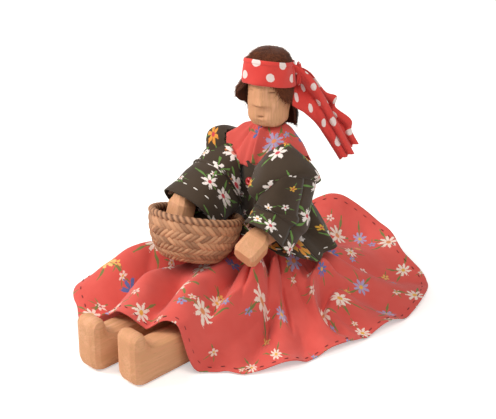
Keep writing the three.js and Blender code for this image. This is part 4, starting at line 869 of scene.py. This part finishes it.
bodice_tube, bodice_flat = body_tube(np.linspace(55.9, 77, 16), 1.5)
bodice_tube[..., :2] *= 1 + 0.01 * ripples(bodice_flat[..., 0], bodice_flat[..., 1], 10, 31)[..., None]
bodice = make_piece("dress_bodice_cloth", [(bodice_tube, bodice_flat)], red_calico)
thicken(bodice, THIN_CLOTH)
dress(bodice, "torso", "red_calico", "dress_bodice")
declare_cut(bodice, 87, 21, "stretched", "torso")
band_fold = np.linspace(1, -1, 21)
band_tube, band_flat = body_tube(55.3 - 4.9 * np.abs(band_fold), 1.27 + 0.33 * np.tanh(6 * band_fold))
band_tube[..., :2] *= 1 + 0.012 * np.cos(40 * once_round(TUBE_COLUMNS))[None, :, None]
waistband = make_piece("skirt_waistband_cloth", [(band_tube, band_flat)], red_calico)
thicken(waistband, 0.3)
dress(waistband, "torso", "red_calico", "skirt_waistband")
declare_cut(waistband, 87, 10, "folded", "torso")

# %% [markdown]
# ## Button
# One red bead closes the jacket. It is a squat ring of glass or lacquered wood, turned in profile
# round the hole that the thread goes through.

# %% Button
bead_angle, bead_turn = np.meshgrid(once_round(33), once_round(25), indexing="ij")
bead_reach = 1.5 + 1.0 * np.cos(bead_turn)
bead_points = grid(
    bead_reach * np.cos(bead_angle),
    -16.1 + 1.35 * np.sin(bead_turn),
    80 + bead_reach * np.sin(bead_angle),
)
button = make_piece("bead_button", [(bead_points, None)], bead)
dress(button, "torso", "red_bead", "jacket_button")

# %% [markdown]
# ## Head
# The head is a whittled block with a broad jaw. Two flat planes meet in the ridge of the nose, and
# the eyes and mouth are single cuts. Rings up the head give the block, and the carving is worked
# out as a depth at each point of the face.

# %% Head
HEAD_TURN = np.radians(22)
HEAD_MIDDLE = np.array([0, -2.5, 0])
HEAD_WIDE, HEAD_DEEP = 11, 11.5
CHIN = 112


def on_head(points):
    """Turns points from the head's own frame, where the face looks along -Y, to where the head looks."""
    c, s = np.cos(HEAD_TURN), np.sin(HEAD_TURN)
    return points @ np.array([[c, s, 0], [-s, c, 0], [0, 0, 1]])


# Each station is a height, half width, half depth, shift along Y and squareness.
head_stations = np.array([
    (106.3, 7.0, 7.0, 0.0, 2.0), (109.5, 7.0, 7.0, 0.0, 2.0), (111.6, 7.3, 7.4, -1.6, 2.1),
    (112.0, 7.9, 8.2, -2.4, 2.3), (113.2, 9.5, 9.9, -2.5, 2.4), (116.0, 10.5, 11.0, -2.5, 2.5),
    (121.0, 10.9, 11.4, -2.5, 2.5), (128.0, 11.0, 11.5, -2.5, 2.4), (135.0, 10.9, 11.4, -2.5, 2.3),
    (141.0, 10.6, 11.1, -2.5, 2.3), (146.6, 9.0, 9.4, -2.5, 2.2), (149.7, 5.4, 5.7, -2.5, 2.1),
    (150.5, 0.01, 0.01, -2.5, 2.0),
])  # fmt: skip
head_z, head_wide, head_deep, head_shift, head_square = spline(head_stations, 150).T[..., None]
head_angle = once_round(161)[None]
head_x, head_y = oval(head_angle, head_wide, head_deep, head_square)
above = head_z - CHIN
nose = np.interp(above, [12.2, 12.7, 25.5], [0, 2.5, 0.8], left=0, right=0)
planes = nose * np.maximum(0, 1 - np.abs(head_x) / 6.5)
facing = head_y < 0
eye = hump(np.abs(head_x), 5.8, 1.5, 4) * hump(above, 20.6, 0.42) * np.where(head_x > 0, 1, 0.45)
mouth = hump(head_x, 0, 2, 4) * hump(above - 0.09 * head_x, 6.2, 0.55)
lip = hump(head_x, 0, 3.5) * hump(above, 4.6, 1.1)
under_nose = hump(head_x, 0, 3.2, 4) * hump(above, 12.3, 0.5)
carving = np.where(facing, planes - 0.8 * eye - 0.8 * mouth + 0.35 * lip - 0.4 * under_nose, 0)
head_grid = grid(head_x, head_y - carving + head_shift, head_z)
whittled = 0.14 * ripples(head_angle * 11, head_z, 8, 41)
head_grid[..., :2] *= 1 + (whittled / 11)[..., None]
# The eye and mouth cuts and the hollow under the nose are painted darker: painted shade in the recesses.
cut_shade = np.where(facing, 0.9 * eye + 0.6 * mouth + 0.35 * under_nose, 0)
head = make_piece("carved_head", [(on_head(head_grid), None)], upright_wood, carved_line=cut_shade)
dress(head, "head", "doll_wood", "head")

# %% [markdown]
# ## Wig
# The wig is a piece of short brown plush glued over the crown. It leaves the face free, comes down
# in a lock beside the doll's right cheek and in a curve over the left temple, and hangs lower
# behind. A close skin gives its body, and many flat strands stand on it for the pile.

# %% Wig
HAIR_TOP = 154.0
HEAD_SQUARE = 2.3
WIG_EDGE = [
    (0, 127), (12, 124), (26, 112), (36, 108), (90, 107.5), (150, 109), (172, 118), (186, 122.5),
    (200, 126), (211, 131), (220, 136), (230, 138.5), (264, 140), (292, 138.5), (305, 136), (330, 129.5),
    (346, 126.5), (360, 127),
]  # fmt: skip
WIG_SIZES = np.array([
    (107, 0.9), (113, 0.96), (118, 1), (131, 1), (141, 0.99), (147, 0.93), (150.5, 0.76), (152.8, 0.48),
    (154, 0.02),
])  # fmt: skip


def wig_skin(angle, share):
    """The wig's skin in the head's frame: share 0 is the crown and 1 the lower edge."""
    degrees = np.degrees(angle)
    z = HAIR_TOP - (HAIR_TOP - eased(WIG_EDGE, degrees % 360)) * share
    size = np.interp(z, *WIG_SIZES.T)
    lock = 5 * bell(degrees, 200, 17) * smooth((139 - z) / 9)
    lock = lock + 3.5 * bell(degrees, 45, 32) * smooth((128 - z) / 14)
    outward = 1.5 + lock
    wig_x, wig_y = oval(angle, HEAD_WIDE * size + outward, HEAD_DEEP * size + outward, HEAD_SQUARE)
    crown = np.minimum(1, size / 0.3)
    return grid(wig_x * crown, wig_y * crown, z) + HEAD_MIDDLE


wig_angle, wig_share = np.meshgrid(once_round(181), np.linspace(0, 1, 61))
skin = wig_skin(wig_angle, wig_share**0.8)
wig_base = make_piece("wig_skin", [(on_head(skin), None)], plush, strand_shade=0.2)
thicken(wig_base, 1.2)
dress(wig_base, "head", "dark_plush", "wig")

# %% Pile
HAIRS = 15000
HAIR_STEPS = 4
rng = np.random.default_rng(7)
hair_angle = rng.uniform(0, 2 * np.pi, HAIRS)
hair_share = rng.uniform(0, 1, HAIRS) ** 0.7
root = wig_skin(hair_angle, hair_share)
down = unit(wig_skin(hair_angle, np.minimum(hair_share + 0.06, 1.06)) - root)
out = unit(root - HEAD_MIDDLE - np.array([0, 0, 128]))
side = np.cross(down, out)
hair_length = rng.uniform(1.4, 3.2, (HAIRS, 1))
lift = rng.uniform(0.2, 0.8, (HAIRS, 1))
sway = rng.normal(0, 0.6, (HAIRS, 1))
steps = np.linspace(0, 1, HAIR_STEPS)[None, :, None]
path = root[:, None] + (down + sway * side)[:, None] * hair_length[:, None] * steps
path = path + out[:, None] * (lift * hair_length)[:, None] * (steps - 0.4 * steps**2)
path = path + 0.35 * side[:, None] * np.sin(steps * rng.uniform(2, 6, (HAIRS, 1, 1)))
width = 0.13 * (1 - 0.8 * steps) * side[:, None]
strands = on_head(np.stack([path - width, path + width], 2))
hair_shades = np.repeat(rng.uniform(0.1, 1.0, HAIRS), 2 * HAIR_STEPS)
hair = make_piece("wig_pile", [(strands, None)], plush, weld=False, strand_shade=hair_shades)
dress(hair, "head", "dark_plush")

# %% [markdown]
# ## Headband
# A strip of dotted cotton is tied round the wig, higher over the face than behind. Its edges are
# folded in, and it is knotted behind the doll's left ear. The ends leave the knot as a deep fold
# and hang as two tails with rolled edges, and their ends are cut in points.

# %% Headband
BAND_LEVEL = 140.5
BAND_HALF = 7
band_angle, band_share = np.meshgrid(once_round(181), np.linspace(-1, 1, 41))
band_z = BAND_LEVEL + BAND_HALF * band_share - 3.45 * np.sin(band_angle)
band_size = 0.98 - 0.006 * (band_z - BAND_LEVEL)
fold_edge = 0.5 * (1 - np.abs(band_share) ** 10) + 0.3 * smooth((band_share - 0.66) / 0.05)
puckers = 0.22 * ripples(band_angle * 13, band_z, 12, 51)
band_out = 2.5 + fold_edge + puckers
band_wide, band_deep = HEAD_WIDE * band_size + band_out, HEAD_DEEP * band_size + band_out
band_x, band_y = oval(band_angle, band_wide, band_deep, HEAD_SQUARE)
band_points = on_head(grid(band_x, band_y, band_z) + HEAD_MIDDLE)
band_flat = grid(band_angle * 13.8 + 4.2, BAND_HALF * band_share + 1.9)
headband = make_piece("headband_cloth", [(band_points, band_flat)], dotted)
thicken(headband, 0.6)
dress(headband, "head", "spotted_red_cotton", "headband")
declare_cut(headband, 92, 14.3, "stretched", "wig_skin")

# %% Knot
KNOT_TURN = np.radians(28)
UPWARD = np.array([0, 0, 1.0])
knot_out = np.array([np.cos(KNOT_TURN), np.sin(KNOT_TURN), 0])
knot_round = np.array([-np.sin(KNOT_TURN), np.cos(KNOT_TURN), 0])
knot_centre = knot_out * 15.9 + HEAD_MIDDLE + 138.9 * UPWARD
knot_angle, knot_share = np.meshgrid(once_round(49), np.linspace(0, np.pi, 25))
pinched = np.sin(knot_share) * (1 + 0.12 * np.cos(5 * knot_angle + 3 * knot_share))
knot_points = (
    knot_centre
    + (1.7 * pinched * np.cos(knot_angle))[..., None] * knot_out
    + (4.2 * pinched * np.sin(knot_angle))[..., None] * knot_round
    + (6.6 * np.cos(knot_share))[..., None] * UPWARD
)
knot_flat = grid(knot_angle * 3, knot_share * 5)
knot = make_piece("headband_knot_cloth", [(on_head(knot_points), knot_flat)], dotted)
dress(knot, "head", "spotted_red_cotton", "headband_knot")


# %% Tails
def make_tail(label, upper, lower, sway, bulge, flat_place, cut, seed):
    """A sheet between its upper and lower edge, each measured as (distance from the head's middle, height):
    hollow where it leaves the knot, rolled towards its end, with a zigzag cut at the end."""
    low, high = spline(lower, 81)[:, None], spline(upper, 81)[:, None]
    across = np.linspace(0, 1, 61)[None]
    run = np.linspace(0, 1, 81)[:, None]
    sheet = low + (high - low) * across[..., None]
    ahead = unit(sheet[-1] - sheet[-2])
    sheet = sheet + (run**12 * 0.9 * zigzag(across * 4))[..., None] * ahead
    place = 2 * across - 1
    hollow = -np.cos(np.pi * place) * (1 - smooth(1.7 * run)) * 5
    rolled = bulge * (1 - hump(place, 0.15, 0.24)) * (1 - 0.7 * np.abs(place) ** 5) * smooth(2.5 * run)
    wrinkles = 0.25 * ripples(place * 9, run * 50, 9, seed)
    beside = sway[0] + sway[1] * run - hollow - rolled - wrinkles
    points = sheet[..., :1] * knot_out + beside[..., None] * knot_round + sheet[..., 1:] * UPWARD
    width = np.linalg.norm(high - low, axis=-1)
    flat = grid(run * 58 + flat_place[0], across * width * 1.2 + flat_place[1])
    tail_points = on_head(points + HEAD_MIDDLE)
    tail = make_piece("headband_tail_cloth_" + label, [(tail_points, flat)], dotted)
    thicken(tail, THIN_CLOTH)
    dress(tail, "head", "spotted_red_cotton", "headband_tail_" + label)
    declare_cut(tail, *cut, "hung", "headband_knot_cloth")


make_tail(
    "front",
    upper=[(12.5, 146.5), (21, 139.5), (29, 127), (36, 113), (46.5, 92.5)],
    lower=[(12, 123), (19, 118), (26, 110.5), (32.5, 100.5), (39, 89.5)],
    sway=(-0.8, 0.5), bulge=3.4, flat_place=(3.0, 2.0), cut=(22, 55), seed=61,
)  # fmt: skip
make_tail(
    "back",
    upper=[(13, 145), (22.5, 139), (30.5, 127.5), (37, 124), (36.5, 117.5), (45.5, 109.5), (46, 103),
           (50, 95)],
    lower=[(12.5, 128), (22, 119), (30, 109), (37, 101), (43, 92)],
    sway=(3.8, 2.5), bulge=2.0, flat_place=(11.0, 6.0), cut=(17, 57), seed=62,
)  # fmt: skip

# %% [markdown]
# ## Basket
# The basket is plaited from flat straws in a herringbone: each row is made of short slanting
# floats, and neighbouring rows slant the other way. A thin bowl in the darkest straw colour gives
# painted shade in the gaps between the straws, and every float is a small pillow laid on it. The
# rim is bound with slanting turns.

# %% Basket bowl
BASKET_PLACE = np.array([-17.5, -44.84, 37.45])
OUTER_WALL, INNER_WALL = -0.9, -1.7


def turned(points, axis, degrees):
    """Points turned about one axis of the frame by the given angle."""
    c, s = np.cos(np.radians(degrees)), np.sin(np.radians(degrees))
    first, second = [(1, 2), (2, 0), (0, 1)][axis]
    moved = points.copy()
    moved[..., first] = c * points[..., first] - s * points[..., second]
    moved[..., second] = s * points[..., first] + c * points[..., second]
    return moved


def in_place(points):
    """From the basket's own frame, base in the middle, to where it leans on the lap."""
    return turned(turned(turned(points, 0, -16), 1, 8), 2, 45) + BASKET_PLACE


def bowl_profile(share):
    """Radius and height of the bowl's outer wall: a quadratic curve from the base to the rim."""
    base, belly, top = np.array([15.5, 0]), np.array([24.5, 7]), np.array([25.5, 22.3])
    share = share[..., None]
    return (1 - share) ** 2 * base + 2 * share * (1 - share) * belly + share**2 * top


def on_bowl(angle, share, outward):
    """A point on the bowl, moved outward from its wall, in the basket's own frame."""
    profile = bowl_profile(share)
    ahead = unit(bowl_profile(share + 0.01) - bowl_profile(share - 0.01))
    radius = profile[..., 0] + outward * ahead[..., 1]
    return polar(radius, angle, profile[..., 1] - outward * ahead[..., 0])


bowl_angle, bowl_share = np.meshgrid(once_round(97), np.linspace(0, 1, 25))
outer_wall = on_bowl(bowl_angle, bowl_share, OUTER_WALL)
inner_wall = on_bowl(bowl_angle, bowl_share, INNER_WALL)[::-1]
bowl_floor = outer_wall[:1] * np.linspace(0, 1, 12)[:, None, None] * np.array([1, 1, 0])
bowl_patches = [
    (in_place(np.concatenate([outer_wall, inner_wall])), None),
    (in_place(bowl_floor + [0, 0, 0.1]), None),
    (in_place(bowl_floor + [0, 0, 1.0]), None),
]
# The bowl takes the darkest straw colour: painted shade in the gaps between the floats.
bowl = make_piece("basket_bowl", bowl_patches, straw, strand_shade=0.0)
dress(bowl, "basket", "plaited_straw", "basket")

# %% Plait and rim
ROWS, FLOATS = 6, 44
FLOAT_LONG, FLOAT_WIDE = 9, 7
RIM_REACH, RIM_LEVEL = 24.6, 24.3
row = np.arange(ROWS)[:, None, None, None]
count = np.arange(FLOATS)[:, None, None]
slant = np.where(row % 2 == 0, 1.0, -1.0)
float_u = np.linspace(-1, 1, FLOAT_LONG)[:, None]
float_v = np.linspace(-1, 1, FLOAT_WIDE)


def plait(outward, flip):
    """Floats as small pillows: along each the share of the wall rises, and the angle follows the slant."""
    pitch = 2 * np.pi / FLOATS
    angle = (count + 0.5 * (row % 2)) * pitch + pitch * (0.95 * float_u * slant + 0.34 * float_v)
    share = (row + 0.5 + 0.6 * float_u - 0.2 * float_v * slant) / ROWS
    pillow = 1.5 * (1 - np.abs(float_u) ** 3 * 0.8) * np.sqrt(np.maximum(0, 1 - 0.96 * float_v**2))
    return in_place(on_bowl(angle, np.clip(share, 0.0, 1.04), outward + flip * (pillow - 1.4)))


float_flat = grid(float_u * 4, float_v * 1.2)
rng = np.random.default_rng(17)
float_shades = np.repeat(rng.uniform(0.4, 1.0, 2 * ROWS * FLOATS), FLOAT_LONG * FLOAT_WIDE)
woven = [(plait(0.7, 1), float_flat), (plait(-2.1, -1), float_flat)]
floats = make_piece("basket_plait", woven, straw, weld=False, strand_shade=float_shades)
dress(floats, "basket", "plaited_straw")
rim_turn, rim_round = np.meshgrid(once_round(481), once_round(17))
rim_twist = 1.9 + 0.5 * np.abs(np.cos(22 * rim_turn + rim_round)) - 0.25
rim_reach = RIM_REACH + rim_twist * np.cos(rim_round)
rim_points = in_place(polar(rim_reach, rim_turn, RIM_LEVEL + rim_twist * np.sin(rim_round)))
rim_flat = grid(rim_turn * 24, rim_round * 2)
# Darker where the turns of the binding meet: painted shade in the grooves.
rim_groove_shade = 0.5 + 0.35 * np.cos(44 * rim_turn + 2 * rim_round)
rim = make_piece("basket_rim", [(rim_points, rim_flat)], straw, strand_shade=rim_groove_shade)
dress(rim, "basket", "plaited_straw")

# %% [markdown]
# ## Floor, backdrop and light
# The photograph has a white ground and soft, slightly warm light. A pale floor and a world that is
# white to the camera give the ground. The stronger lamp stands in front, to the left of the camera,
# and a wider one stands higher and to its right. The floor keeps the doll's shadow.

# %% Floor and light
FLOOR_HALF = 4000
AIM = np.array([0, 0, 0.06])
WHITE = (1, 1, 1, 1)
floor_values = {"Base Color": srgb("#F2F0ED"), "Roughness": 0.9, "Emission Color": WHITE}
floor_finish, floor_tree, floor_surface = new_finish("pale_paper", floor_values)
glow = calc(floor_tree, "MULTIPLY", add(floor_tree, "LightPath")["Is Camera Ray"], 0.42)
floor_tree.links.new(glow, floor_surface["Emission Strength"])
floor_line = np.linspace(-FLOOR_HALF, FLOOR_HALF, 9)
floor = make_piece("floor", [(grid(floor_line[None], floor_line[:, None], -0.05), None)], floor_finish)
world = bpy.data.worlds.new("studio")
world.use_nodes = True
bpy.context.scene.world = world
sky = world.node_tree
ray = add(sky, "LightPath")
plain = calc(sky, "MAXIMUM", ray["Is Camera Ray"], ray["Is Glossy Ray"])
plain = calc(sky, "MAXIMUM", plain, ray["Is Transmission Ray"])
background = sky.nodes["Background"].inputs
sky.links.new(ranged(sky, plain, 0, 1, 0.36, 1.0), background["Strength"])
background["Color"].default_value = WHITE
for name, place, size, power, tint in [
    ("key", (-0.75, -0.95, 1.05), 0.6, 18.5, "#FFF9F2"),
    ("fill", (0.7, -0.3, 1.3), 0.9, 10.5, "#FFFBF6"),
]:
    lamp = bpy.data.lights.new(name, "AREA")
    lamp.size = size
    lamp.energy = power
    lamp.color = srgb(tint)[:3]
    light = bpy.data.objects.new(name, lamp)
    light.location = place
    aim = unit(AIM - np.array(place))
    light.rotation_euler = (np.arccos(-aim[2]), 0, np.arctan2(aim[1], aim[0]) - np.pi / 2)
    bpy.context.scene.collection.objects.link(light)
bpy.context.scene.view_settings.view_transform = "Standard"
print("two lamps, a pale floor and a white surround")
